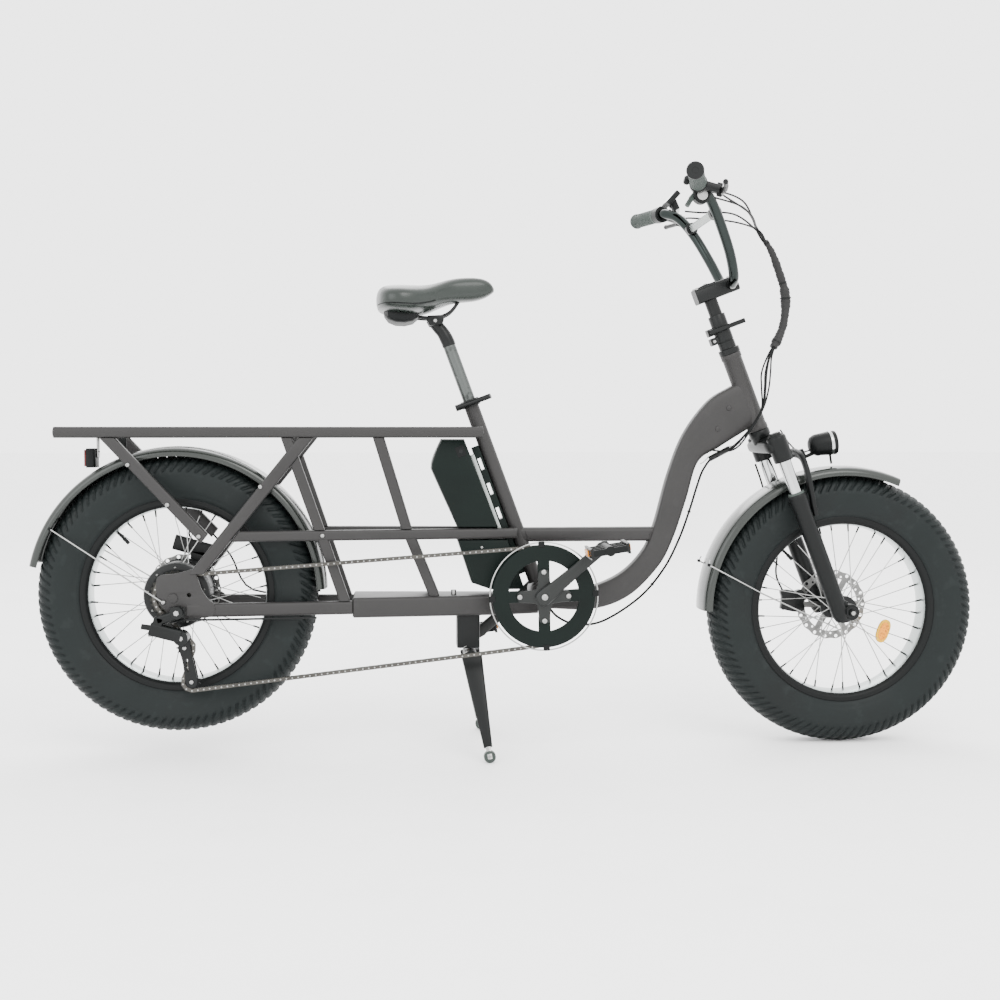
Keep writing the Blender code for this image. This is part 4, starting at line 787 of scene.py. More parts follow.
def tyre_mesh():
    """A fat tyre: slick sidewall ribs, angled shoulder sipes and a grooved crown."""
    w = TYRE_HALF_WIDTH
    outer = [(0.207, 0.0355), (0.215, 0.04), (0.236, 0.93 * w), (0.262, w), (0.277, 0.93 * w),
        (0.288, 0.76 * w), (0.2955, 0.5 * w), (0.299, 0.25 * w), (0.2999, 0.0)]
    half = spline([Vector((r, y, 0)) for r, y in outer], 5)
    profile = [(p.x, p.y) for p in half] + [(p.x, -p.y) for p in reversed(half[:-1])]
    steps = 768
    rings = []
    for k in range(steps):
        a = 2.0 * math.pi * k / steps
        ring = []
        for r, y in profile:
            share = abs(y) / w
            cut = 0.0
            if r > 0.264:
                phase = (a * TREAD_BLOCKS / (2.0 * math.pi) - (TYRE_RADIUS - r) * 41.0) % 1.0
                deep = min(1.0, (r - 0.264) / 0.004)
                if phase < 0.4:
                    cut = 0.0034 * deep
                if 0.3 < share < 0.37:
                    cut = 0.0022
            elif abs(r - 0.26) < 0.001 or abs(r - 0.217) < 0.0014:
                cut = -0.0006
            out = r - cut * (1.0 - 0.7 * share)
            ring.append(Vector((out * math.cos(a), y - math.copysign(cut * 0.9 * share, y),
                out * math.sin(a))))
        rings.append(ring)
    form = Form()
    count = len(profile)
    points = [p for ring in rings for p in ring]
    faces = []
    for k in range(steps):
        n = (k + 1) % steps
        for i in range(count - 1):
            faces.append((k * count + i, k * count + i + 1, n * count + i + 1, n * count + i))
    form.add(points, faces)
    return form


def build_wheels():
    rear = at(0, 0, REAR_AXLE_Z)
    front = at(WHEELBASE, 0, FRONT_AXLE_Z)
    master = tyre_mesh()
    for name, centre, body, node in (("rear_tyre_tread", rear, "rear_wheel", "rear_tyre"),
            ("front_tyre_tread", front, "front_wheel", "front_tyre")):
        form = Form()
        form.add([point + centre for point in master.points], master.faces)
        form.make(name, body, [TYRE], [node], sharp=30.0, weld=False)
    build_rim("rear_rim_spokes", rear, "rear_wheel", "rear_rim", "rear_spokes", 0.07, 0.03)
    build_rim("front_rim_spokes", front, "front_wheel", "front_rim", "front_spokes", 0.03, 0.038)


def build_rim(name, centre, body, node, laced, flange, flange_y):
    w = RIM_HALF_WIDTH
    form = Form()
    form.lathe([(RIM_RADIUS + 0.0008, w), (RIM_RADIUS + 0.001, w - 0.002), (0.1935, w - 0.006),
        (0.1935, 0.006 - w), (RIM_RADIUS + 0.001, 0.002 - w), (RIM_RADIUS + 0.0008, -w)], centre, ACROSS,
        128, 2)
    form.lathe([(0.19, -0.78 * w), (0.1878, -0.6 * w), (0.1868, -0.3 * w), (0.1868, 0.3 * w),
        (0.1878, 0.6 * w), (0.19, 0.78 * w)], centre, ACROSS, 128)
    for side in (-1, 1):
        form.lathe([(RIM_RADIUS + 0.0008, side * w), (0.2055, side * 0.0372), (0.202, side * 0.0366),
            (0.199, side * 0.0372), (0.1955, side * 0.0355), (0.1925, side * 0.033),
            (0.19, side * 0.78 * w)], centre, ACROSS, 128, 2)
    for i in range(SPOKES):
        angle = 2.0 * math.pi * (i + 0.5) / SPOKES
        side = 1 if i % 2 else -1
        lead = math.radians(38.0 if flange < 0.05 else 16.0) * (1 if (i // 2) % 2 else -1)
        start = centre + Vector((math.cos(angle + lead), 0, math.sin(angle + lead))) * (flange - 0.003)
        start += ACROSS * (flange_y * side)
        out = Vector((math.cos(angle), 0, math.sin(angle)))
        end = centre + out * 0.188 + ACROSS * (0.01 * side)
        way = (end - start).normalized()
        form.tube([start, end], 0.00105, 6, 1)
        form.tube([end - way * 0.015, end - way * 0.002, end + way * 0.002], [0.0018, 0.0021, 0.0027], 8, 2)
    valve = centre + Vector((math.cos(2.35), 0, math.sin(2.35))) * 0.187
    inward = (centre - valve).normalized()
    form.rod(valve, valve + inward * 0.02, 0.003, 12, 2)
    form.rod(valve + inward * 0.018, valve + inward * 0.034, 0.004, 12, 2)
    form.make(name, body, [ALLOY, STEEL, PLASTIC], [node, laced])


def rotor(form, centre, y, slot=1):
    """A brake disc with a waved edge, rows of holes and six arms."""
    edge = []
    for k in range(144):
        a = 2.0 * math.pi * k / 144
        r = ROTOR_RADIUS + 0.001 * math.cos(ROTOR_HOLES * a)
        edge.append((r * math.cos(a), r * math.sin(a)))
    outlines = [edge]
    for k in range(ROTOR_HOLES):
        a = 360.0 * k / ROTOR_HOLES
        for radius, shift, size in ((0.074, 0.0, 0.004), (0.0665, 10.0, 0.0026)):
            middle = (radius * math.cos(math.radians(a + shift)), radius * math.sin(
                math.radians(a + shift)))
            outlines.append(circle(middle, size, 12))
    for k in range(6):
        a = 60.0 * k
        window = circle((0, 0), 0.0615, 8, a + 6, 48) + list(reversed(circle((0, 0), 0.029, 6, a + 14, 32)))
        outlines.append(window)
    outlines.append(circle((0, 0), 0.017, 32))
    form.flat(outlines, upright_plane(centre.x, y, centre.z), 0.001, 0.0, slot)
    for k in range(6):
        a = math.radians(60.0 * k)
        form.bolt(Vector((centre.x + 0.022 * math.cos(a), y + 0.001, centre.z + 0.022 * math.sin(a))),
            ACROSS, 0.0034, 0.0022, 1)


def build_hubs():
    centre = at(WHEELBASE, 0, FRONT_AXLE_Z)
    form = Form()
    form.lathe([(0.0, 0.065), (0.0065, 0.065), (0.0075, 0.056), (0.02, 0.054), (0.021, 0.05),
        (0.018, 0.044), (0.03, 0.04), (0.0305, 0.038), (0.03, 0.036), (0.019, 0.033), (0.016, 0.02),
        (0.0155, -0.02), (0.019, -0.033), (0.03, -0.036), (0.0305, -0.038), (0.03, -0.04), (0.017, -0.044),
        (0.014, -0.054), (0.0075, -0.06), (0.0065, -0.065), (0.0, -0.065)], centre, ACROSS, 56)
    rotor(form, centre, FRONT_ROTOR_Y)
    form.make("front_hub_disc", "front_wheel", [BLACK, ROTOR], ["front_hub"])

    centre = at(0, 0, REAR_AXLE_Z)
    form = Form()
    form.lathe([(0.0, 0.0837), (0.008, 0.0837), (0.008, 0.07), (0.02, 0.069), (0.022, 0.0655),
        (0.034, 0.064), (0.04, 0.06), (0.062, 0.0545), (0.069, 0.05), (0.0712, 0.046), (0.0712, 0.042),
        (0.069, 0.04), (0.069, 0.03), (0.07, 0.028), (0.069, 0.026), (0.069, -0.02), (0.07, -0.022),
        (0.069, -0.024), (0.069, -0.034), (0.0712, -0.036), (0.0712, -0.04), (0.069, -0.045),
        (0.062, -0.0485), (0.056, -0.049), (0.054, -0.0515), (0.034, -0.0535), (0.0165, -0.0538),
        (0.0165, -0.08), (0.008, -0.0805), (0.008, -0.0837), (0.0, -0.0837)], centre, ACROSS, 96)
    rotor(form, centre, REAR_ROTOR_Y)
    for k in range(9):
        a = math.radians(40.0 * k + 12.0)
        spot = centre + Vector((math.cos(a) * 0.06, 0, math.sin(a) * 0.06))
        form.bolt(spot - ACROSS * 0.048, -ACROSS, 0.003, 0.0022, 1)
        form.bolt(spot + ACROSS * 0.0545, ACROSS, 0.003, 0.0016, 1)
    for y in (-0.038, 0.044):
        for k in range(SPOKES // 2):
            a = 2.0 * math.pi * (k + 0.25) / (SPOKES // 2)
            spot = centre + Vector((math.cos(a) * 0.07, y, math.sin(a) * 0.07))
            form.rod(spot - ACROSS * 0.0022, spot + ACROSS * 0.0022, 0.0016, 8, 1)
    form.make("hub_motor_shell", "rear_wheel", [BLACK, ROTOR], ["hub_motor"])

    form = Form()
    for teeth, radius, y in ((28, 0.054, -0.0562), (26, 0.051, -0.0602), (22, 0.045, -0.0672),
            (18, 0.034, -0.0722), (14, 0.028, -0.0765), (12, 0.025, -0.0792)):
        tip = min(radius + 0.0012, 0.0398) if teeth == 22 else radius + 0.001
        root = tip - 0.0032
        outline = []
        for k in range(teeth):
            for share, r in ((0.0, root), (0.3, root), (0.45, tip), (0.75, tip), (0.9, root)):
                a = 2.0 * math.pi * (k + share) / teeth
                outline.append((r * math.cos(a), r * math.sin(a)))
        form.flat([outline, circle((0, 0), 0.017, 32)], upright_plane(centre.x, y, centre.z), 0.0009)
    form.lathe([(0.017, -0.0545), (0.023, -0.0545), (0.023, -0.0795), (0.017, -0.08)], centre, ACROSS, 40,
        closed=True)
    form.make("cassette_cogs", "sprockets", [COG_STEEL], ["cassette"])


# ---------------------------------------------------------------- drive

def chain_y(x):
    ring_rear = BB_X - CHAINRING_RADIUS
    share = min(max(x / ring_rear, 0.0), 1.0)
    return CHAIN_REAR_Y + (CHAIN_FRONT_Y - CHAIN_REAR_Y) * share


def belt(circles, step_degrees):
    """The line of a belt round circles of (centre x, z, radius, +1 anticlockwise or -1)."""
    lines = []
    count = len(circles)
    for i in range(count):
        ax, az, ar, turn_a = circles[i]
        bx, bz, br, turn_b = circles[(i + 1) % count]
        heading = math.atan2(bz - az, bx - ax)
        normal = heading + math.acos((turn_b * br - turn_a * ar) / math.hypot(bx - ax, bz - az))
        nx, nz = math.cos(normal), math.sin(normal)
        lines.append(((ax - turn_a * ar * nx, az - turn_a * ar * nz),
            (bx - turn_b * br * nx, bz - turn_b * br * nz)))
    points = []
    for i, (cx, cz, radius, turn) in enumerate(circles):
        arrive = lines[i - 1][1]
        leave = lines[i][0]
        a = math.atan2(arrive[1] - cz, arrive[0] - cx)
        b = math.atan2(leave[1] - cz, leave[0] - cx)
        sweep = ((b - a) * turn) % (2.0 * math.pi)
        pieces = max(2, int(sweep / math.radians(step_degrees)))
        for step in range(pieces + 1):
            angle = a + turn * sweep * step / pieces
            points.append((cx + radius * math.cos(angle), cz + radius * math.sin(angle)))
    return points


def build_chain():
    """Every link of the chain: two plates and a roller each, inner and outer in turn."""
    wheels = [(BB_X, BB_Z, CHAINRING_RADIUS, 1), (0.0, REAR_AXLE_Z, SPROCKET_RADIUS - 0.001, 1),
        (*JOCKEY_UPPER, JOCKEY_RADIUS, -1), (*JOCKEY_LOWER, JOCKEY_RADIUS, 1)]
    line = belt(wheels, 5.0)
    line.append(line[0])
    lengths = [0.0]
    for a, b in zip(line, line[1:]):
        lengths.append(lengths[-1] + math.hypot(b[0] - a[0], b[1] - a[1]))
    count = 2 * round(lengths[-1] / CHAIN_PITCH / 2)
    pins = []
    span = 0
    for k in range(count):
        want = lengths[-1] * k / count
        while lengths[span + 1] < want:
            span += 1
        share = (want - lengths[span]) / max(1e-9, lengths[span + 1] - lengths[span])
        a, b = line[span], line[span + 1]
        pins.append((a[0] + (b[0] - a[0]) * share, a[1] + (b[1] - a[1]) * share))
    form = Form()
    for k in range(count):
        a, b = pins[k], pins[(k + 1) % count]
        heading = math.atan2(b[1] - a[1], b[0] - a[0])
        half = math.hypot(b[0] - a[0], b[1] - a[1]) / 2
        middle = ((a[0] + b[0]) / 2, (a[1] + b[1]) / 2)
        y = chain_y(middle[0])
        offset = 0.0032 if k % 2 else 0.0022
        outline = []
        for end, first in ((1, -75), (-1, 105)):
            for j in range(6):
                t = math.radians(first + 30 * j)
                outline.append((end * half + 0.004 * math.cos(t), 0.004 * math.sin(t)))
        for side in (-1, 1):
            rings = []
            for thick in (-0.0005, 0.0005):
                rings.append([at(middle[0] + u * math.cos(heading) - v * math.sin(heading),
                    y + side * offset + thick, middle[1] + u * math.sin(heading) + v * math.cos(
                    heading)) for u, v in outline])
            form.loft(rings)
        form.tube([at(a[0], chain_y(a[0]) - 0.004, a[1]), at(a[0], chain_y(a[0]) + 0.004, a[1])], 0.0017, 6,
            1)
        form.tube([at(a[0], chain_y(a[0]) - 0.0017, a[1]), at(a[0], chain_y(a[0]) + 0.0017, a[1])], 0.0036,
            8, 1)
    form.make("chain_links", "frame", [CHAIN_STEEL, STEEL], ["chain"], weld=False)


def build_cranks():
    centre = at(BB_X, 0, BB_Z)
    form = Form()
    form.rod(centre - ACROSS * 0.118, centre + ACROSS * 0.118, 0.012, 32)
    for side in (-1, 1):
        way = Vector((math.cos(CRANK_ANGLE), 0.0, math.sin(CRANK_ANGLE))) * -side
        inner = centre + ACROSS * (side * CRANK_Y)
        eye = inner + way * CRANK_LENGTH
        out = ACROSS * side
        rings = []
        for share, wide, thick in ((-0.105, 0.008, 0.01), (-0.09, 0.014, 0.013), (-0.04, 0.0175, 0.0145),
                (0.06, 0.0172, 0.014), (0.2, 0.015, 0.0125), (0.55, 0.0125, 0.012), (0.9, 0.0125, 0.012),
                (0.98, 0.014, 0.0125), (1.05, 0.0115, 0.012), (1.085, 0.006, 0.01)):
            middle = inner + way * (CRANK_LENGTH * share)
            cross = way.cross(out)
            ring = []
            for k in range(20):
                t = 2.0 * math.pi * k / 20
                c, s = math.cos(t), math.sin(t)
                ring.append(middle + cross * (wide * math.copysign(abs(c) ** 0.6,
                    c)) + out * (thick / 2 * math.copysign(abs(s) ** 0.6, s)))
            rings.append(ring)
        form.loft(rings, 2)
        form.bolt(inner + out * 0.0062, out, 0.0072, 0.003)
        form.rod(eye - out * 0.001, eye + out * (PEDAL_OUT_Y - CRANK_Y - 0.004), 0.006, 20, 1)
    arms = []
    for quarter in range(4):
        aim = 90.0 * quarter + 1.0
        arms += [(BB_X + r * math.cos(math.radians(aim + off)), BB_Z + r * math.sin(
            math.radians(aim + off))) for r, off in ((0.023, -45.0), (0.03, -27.0), (0.04, -18.5),
            (0.052, -13.5), (0.0575, -8.0), (0.0592, 0.0), (0.0575, 8.0), (0.052, 13.5), (0.04, 18.5),
            (0.03, 27.0))]
    form.plate([arms], -0.103, 0.0028, 0.001, 2)
    for quarter in range(4):
        a = math.radians(90.0 * quarter + 1.0)
        form.bolt(centre + Vector((math.cos(a) * 0.0525, -0.1056, math.sin(a) * 0.0525)), -ACROSS, 0.0058,
            0.0025)
    form.make("crank_arms", "cranks", [FORK_BLACK, STEEL, CRANK_GREY], ["crankset"],
        sharp=45.0)

    form = Form()
    form.lathe([(0.1, -0.0885), (0.1, -0.095), (0.1105, -0.0976), (0.1112, -0.099), (0.1105, -0.1002),
        (0.1085, -0.1006), (0.079, -0.1006), (0.077, -0.1002), (0.0766, -0.099), (0.0766, -0.094),
        (0.09, -0.0885)], centre, ACROSS, 144, closed=True)
    outline = []
    for k in range(CHAINRING_TEETH):
        for share, r in ((0.0, 0.101), (0.25, 0.1015), (0.42, 0.106), (0.58, 0.106), (0.75, 0.1015)):
            a = 2.0 * math.pi * (k + share) / CHAINRING_TEETH
            outline.append((BB_X + r * math.cos(a), BB_Z + r * math.sin(a)))
    form.plate([outline, circle((BB_X, BB_Z), 0.092, 72)], CHAIN_FRONT_Y, 0.0009, 0.0, 1)
    for quarter in range(4):
        a = math.radians(90.0 * quarter + 1.0)
        out = Vector((math.cos(a), 0.0, math.sin(a)))
        form.bar(centre - ACROSS * 0.0985 + out * 0.044, centre - ACROSS * 0.0985 + out * 0.08, 0.026,
            0.004, 0, corner=0.0019, side=ACROSS)
    hoop = [centre + Vector((math.cos(a) * 0.1165, -0.0995, math.sin(a) * 0.1165)) for a in (
        2.0 * math.pi * k / 120 for k in range(120))]
    form.tube(hoop, 0.0016, 8, 3, closed=True)
    for quarter in range(4):
        a = math.radians(90.0 * quarter + 3.0)
        out = Vector((math.cos(a), 0.0, math.sin(a)))
        form.bar(centre - ACROSS * 0.099 + out * 0.105, centre - ACROSS * 0.099 + out * 0.118, 0.014, 0.005,
            2, corner=0.0015)
    form.make("chainring_guard", "cranks", [CASE, CHAIN_STEEL, PLASTIC, STEEL], ["chainring"])

    for side, word in ((-1, "right"), (1, "left")):
        way = Vector((math.cos(CRANK_ANGLE), 0.0, math.sin(CRANK_ANGLE))) * -side
        eye = centre + way * CRANK_LENGTH
        tilt = Vector((math.cos(math.radians(9.0)), 0.0, math.sin(math.radians(9.0))))
        up = tilt.cross(ACROSS)
        inner = eye + ACROSS * (side * PEDAL_IN_Y)
        outer = eye + ACROSS * (side * PEDAL_OUT_Y)
        middle = (inner + outer) / 2
        form = Form()
        form.rod(inner, outer, 0.0105, 28)
        for end in (-1, 1):
            form.bar(inner + tilt * (0.0385 * end), outer + tilt * (0.0385 * end), 0.022, 0.006, 1,
                corner=0.002, side=tilt)
            for k in range(8):
                spot = inner.lerp(outer, (k + 0.5) / 8) + tilt * (0.041 * end)
                for updown in (-1, 1):
                    form.rod(spot + up * (0.009 * updown), spot + up * (0.0118 * updown), 0.0016, 8, 2)
        for share in (0.04, 0.35, 0.65, 0.96):
            spot = inner.lerp(outer, share)
            form.bar(spot - tilt * 0.04, spot + tilt * 0.04, 0.014, 0.0055, 0, corner=0.0015)
        for end in (-1, 1):
            form.bar(middle + tilt * (0.0445 * end) - ACROSS * 0.022,
                middle + tilt * (0.0445 * end) + ACROSS * 0.022, 0.013, 0.003, 3, corner=0.001, side=tilt)
        form.make("pedal_cage_" + word, word + "_pedal", [PLASTIC, BLACK, STEEL, AMBER], ["pedal_" + word])


def build_derailleur():
    form = Form()
    hanger = [(0.01 + x, 0.316 + z) for x, z in ((-0.016, 0.01), (0.016, 0.01), (0.014, -0.02),
        (-0.012, -0.022))]
    form.plate([hanger], -0.0955, 0.0028, 0.0008)
    form.rod(at(0.01, -0.093, 0.316), at(0.01, -0.118, 0.316), 0.0135, 32)
    form.rod(at(0.01, -0.1175, 0.316), at(0.01, -0.12, 0.316), 0.006, 6, 1)
    knuckle = at(CAGE_PIVOT[0], 0, CAGE_PIVOT[1])
    form.rod(knuckle - ACROSS * 0.079, knuckle - ACROSS * 0.115, 0.015, 32)
    form.rod(knuckle - ACROSS * 0.1145, knuckle - ACROSS * 0.1165, 0.0055, 6, 1)
    form.bar(at(0.012, -0.1065, 0.312), at(-0.03, -0.1065, 0.3), 0.02, 0.02, 0, corner=0.005)
    for y in (-0.114, -0.099):
        form.bar(at(-0.026, y, 0.306), at(-0.034, y, 0.28), 0.02, 0.005, 0, corner=0.002)
    form.bar(at(-0.046, -0.1065, 0.283), at(0.018, -0.1065, 0.266), 0.028, 0.024, 0, corner=0.007)
    form.rod(at(-0.064, -0.1065, 0.2875), at(-0.044, -0.1065, 0.2845), 0.006, 20)
    for z in (0.268, 0.2755):
        form.rod(at(-0.05, -0.1065, z), at(-0.04, -0.1065, z), 0.0022, 10, 1)
    lead = [at(-0.01, -0.102, 0.294), at(0.03, -0.101, 0.3005), at(0.075, -0.096, 0.299),
        at(0.13, -0.089, 0.2985), at(0.3, -0.076, 0.2985)]
    form.tube(spline(lead, 8), 0.0023, 8, 3)
    form.make("derailleur_links", "frame", [BLACK, STEEL, BLACK, CABLE], ["derailleur_body"])

    form = Form()
    ux, uz = JOCKEY_UPPER
    lx, lz = JOCKEY_LOWER
    outline = [Vector((x, 0, z)) for x, z in ((ux - 0.002, CAGE_PIVOT[1] + 0.01),
        (ux + 0.011, CAGE_PIVOT[1]), (ux + 0.013, uz), (lx + 0.01, lz + 0.022), (lx + 0.012, lz),
        (lx + 0.006, lz - 0.011), (lx - 0.006, lz - 0.011), (lx - 0.012, lz), (ux - 0.004, uz - 0.03),
        (ux - 0.012, uz), (ux - 0.012, CAGE_PIVOT[1]))]
    outline = spline(outline + [outline[0]], 5)[:-1]
    slot_hole = [(0.0245, 0.186), (0.029, 0.186), (0.0265, 0.213), (0.0225, 0.213)]
    for y in (-0.0765, -0.0605):
        form.plate([[(p.x, p.z) for p in outline], slot_hole], y, 0.001, 0.0)
    for x, z in (JOCKEY_UPPER, JOCKEY_LOWER):
        form.rod(at(x, -0.059, z), at(x, -0.078, z), 0.0032, 16, 1)
        form.bolt(at(x, -0.0775, z), -ACROSS, 0.0045, 0.002)
    form.make("derailleur_cage_plates", "derailleur_arm", [BLACK, STEEL], ["derailleur_cage"])

    for name, body, node, (x, z) in (("jockey_wheel_upper", "upper_jockey", "jockey_upper", JOCKEY_UPPER),
            ("jockey_wheel_lower", "lower_jockey", "jockey_lower", JOCKEY_LOWER)):
        form = Form()
        outline = []
        for k in range(11):
            for share, r in ((0.0, 0.0148), (0.3, 0.0148), (0.48, 0.0188), (0.62, 0.0188), (0.8, 0.0148)):
                a = 2.0 * math.pi * (k + share) / 11
                outline.append((x + r * math.cos(a), z + r * math.sin(a)))
        form.plate([outline, circle((x, z), 0.0039, 20)], chain_y(x), 0.0012, 0.0002)
        form.lathe([(0.0039, -0.0022), (0.0085, -0.0022), (0.0085, 0.0022), (0.0039, 0.0022)],
            at(x, chain_y(x), z), ACROSS, 28, closed=True)
        form.make(name, body, [PLASTIC], [node])


def build_stand():
    form = Form()
    pin = at(STAND_X, 0, STAND_Z)
    form.rod(pin - ACROSS * 0.048, pin + ACROSS * 0.048, 0.015, 40)
    form.rod(pin - ACROSS * 0.052, pin + ACROSS * 0.052, 0.007, 6, 1)
    for side in (-1, 1):
        hip = at(STAND_X + 0.002, side * 0.044, STAND_Z + 0.002)
        foot = at(FOOT_X, side * FOOT_Y, FOOT_RADIUS)
        ankle = foot + (hip - foot).normalized() * 0.02
        form.bar(hip, ankle, 0.044, 0.016, taper=0.42, corner=0.005)
        up = (hip - foot).normalized()
        for y in (-0.0095, 0.0095):
            form.bar(ankle + up * 0.004 + ACROSS * y, foot - up * 0.004 + ACROSS * y, 0.01, 0.003, 1,
                corner=0.001)
        form.lathe([(0.004, -0.007), (FOOT_RADIUS - 0.001, -0.007), (FOOT_RADIUS, -0.006),
            (FOOT_RADIUS, 0.006), (FOOT_RADIUS - 0.001, 0.007), (0.004, 0.007)], foot, ACROSS, 40, 2,
            closed=True)
        form.rod(foot - ACROSS * 0.0115, foot + ACROSS * 0.0115, 0.0042, 16, 1)
    spring = []
    start = at(0.618, -0.03, 0.23)
    end = at(0.64, -0.052, 0.15)
    way = end - start
    for k in range(14 * 12 + 1):
        a = 2.0 * math.pi * k / 12
        normal = way.orthogonal().normalized()
        spring.append(start + way * (k / (14 * 12)) + (normal * math.cos(a) + way.normalized().cross(
            normal) * math.sin(a)) * 0.0042)
    form.tube(spring, 0.001, 6, 1)
    form.make("stand_legs", "stand", [FORK_BLACK, STEEL, GRIP], ["centre_stand"])


# ---------------------------------------------------------------- mudguards and lights

def fender(form, centre, start, sweep, steps):
    half = FENDER_HALF_WIDTH
    section = [(-half, -FENDER_DROP), (-half * 0.985, -0.01), (-half * 0.93, -0.004),
        (-half * 0.8, -0.0005), (-half * 0.6, 0.0012), (-half * 0.3, 0.003), (0.0, 0.0036)]
    section += [(-y, rise) for y, rise in reversed(section[:-1])]
    loop = section + [(y * 0.975, rise - 0.0016) for y, rise in reversed(section)]
    rings = []
    for k in range(steps + 1):
        a = math.radians(start + sweep * k / steps)
        out = Vector((math.cos(a), 0.0, math.sin(a)))
        rings.append([centre + out * (FENDER_RADIUS + rise) + ACROSS * y for y, rise in loop])
    form.loft(rings)
    for side in (-1, 1):
        path = []
        for k in range(steps + 1):
            a = math.radians(start + sweep * k / steps)
            path.append(centre + Vector((math.cos(a), 0.0, math.sin(a))) * (
                FENDER_RADIUS - FENDER_DROP) + ACROSS * (side * half * 0.99))
        form.tube(path, 0.0011, 6)


def build_fenders():
    rear = at(0, 0, REAR_AXLE_Z)
    form = Form()
    fender(form, rear, 2.0, 166.0, 96)
    for side in (-1, 1):
        hook = at(-0.263, side * 0.052, 0.49)
        form.tube([hook + Vector((0.004, side * -0.006, 0.01)), hook, at(-0.02, side * 0.096, 0.336)],
            0.0016, 8, 1)
        form.bolt(at(-0.02, side * 0.0945, 0.336), ACROSS * side, 0.0045, 0.0025)
        form.rod(hook - ACROSS * (side * 0.004), hook + ACROSS * (side * 0.0025), 0.0035, 12, 2)
    form.bar(at(-0.118, 0, 0.656), at(-0.118, 0, 0.69), 0.016, 0.004, 2, corner=0.001)
    form.make("rear_mudguard", "frame", [FENDER, STEEL, PLASTIC], ["rear_fender"],
        sharp=50.0)

    front = at(WHEELBASE, 0, FRONT_AXLE_Z)
    form = Form()
    fender(form, front, 67.0, 113.0, 72)
    for side in (-1, 1):
        hook = at(1.1555, side * 0.052, 0.403)
        end = at(1.44, side * 0.066, 0.262)
        form.tube([hook + Vector((0.004, side * -0.006, 0.01)), hook, at(1.277, side * 0.056, 0.338),
            at(1.38, side * 0.06, 0.29), end], 0.0016, 8, 1)
        form.rod(hook - ACROSS * (side * 0.004), hook + ACROSS * (side * 0.0025), 0.0035, 12, 2)
    form.bar(steer(0.02, 0, 0.33), steer(0.052, 0, 0.346), 0.004, 0.018, 2, corner=0.001)
    form.make("front_mudguard", "fork_sliders", [FENDER, STEEL, PLASTIC], ["front_fender"],
        sharp=50.0)


def build_lights():
    form = Form()
    form.bar(at(-0.1825, 0, 0.619), at(-0.1825, 0, 0.66), 0.02, 0.048, corner=0.006)
    form.bar(at(-0.194, 0, 0.622), at(-0.194, 0, 0.657), 0.004, 0.042, 1, corner=0.0015)
    for z in (0.63, 0.64, 0.65):
        form.bar(at(-0.195, -0.019, z), at(-0.195, 0.019, z), 0.0015, 0.002, 1, corner=0.0005, side=FORWARD)
    form.bar(at(-0.17, 0, 0.64), at(-0.17, 0, 0.685), 0.004, 0.016, 2, corner=0.001)
    form.bar(at(-0.18, 0, 0.653), at(-0.168, 0, 0.653), 0.004, 0.014, 2, corner=0.001)
    form.make("rear_lamp", "frame", [PLASTIC, RED, STEEL], ["rear_light"])

    face = at(1.452, 0, 0.672)
    back = at(1.392, 0, 0.664)
    way = (face - back).normalized()
    length = (face - back).length
    form = Form()
    form.lathe([(0.0, 0.0), (0.012, 0.0004), (0.0185, 0.004), (0.0235, 0.013), (0.0262, length - 0.02),
        (0.0268, length - 0.008), (0.0268, length - 0.002), (0.0258, length), (0.024, length),
        (0.0235, length - 0.003)], back, way, 56)
    form.lathe([(0.027, length - 0.015), (0.0273, length - 0.014), (0.0273, length - 0.01),
        (0.027, length - 0.009)], back, way, 56, 1)
    form.lathe([(0.0238, length - 0.0026), (0.015, length - 0.0008), (0.0, length)], back, way, 56, 2)
    form.tube([steer(0.0668, 0, 0.35), steer(0.077, 0, 0.35), at(1.385, 0, 0.64), at(1.412, 0, 0.652)],
        0.0044, 12)
    form.rod(at(1.412, -0.008, 0.6475), at(1.412, 0.008, 0.6475), 0.006, 16)
    form.tube(spline([at(1.4, 0.006, 0.655), at(1.375, 0.01, 0.65), at(1.352, 0.012, 0.668),
        at(1.33, 0.012, 0.7)], 6), 0.0017, 8)
    form.rod(at(1.44, 0, 0.648), at(1.444, 0, 0.624), 0.0026, 12)
    form.make("front_lamp", "fork_sliders", [PLASTIC, CHROME, CLEAR], ["headlight"])

    form = Form()
    spot = at(1.561, -0.02, 0.248)
    oval = [(0.0135 * math.cos(a) * 1.0, 0.027 * math.copysign(abs(math.sin(a)) ** 0.7,
        math.sin(a))) for a in (2.0 * math.pi * k / 40 for k in range(40))]
    lean = math.radians(-20.0)
    turned = [(x * math.cos(lean) - z * math.sin(lean), x * math.sin(lean) + z * math.cos(lean)) for x,
        z in oval]
    plane = upright_plane(spot.x, spot.y, spot.z)
    form.flat([turned], plane, 0.0045, 0.0012, 1)
    form.flat([[(x * 0.72, z * 0.76) for x, z in turned]], upright_plane(spot.x, spot.y - 0.004, spot.z),
        0.0022, 0.001, 0)
    form.make("spoke_reflector", "front_wheel", [AMBER, YELLOW], ())


# ---------------------------------------------------------------- fork

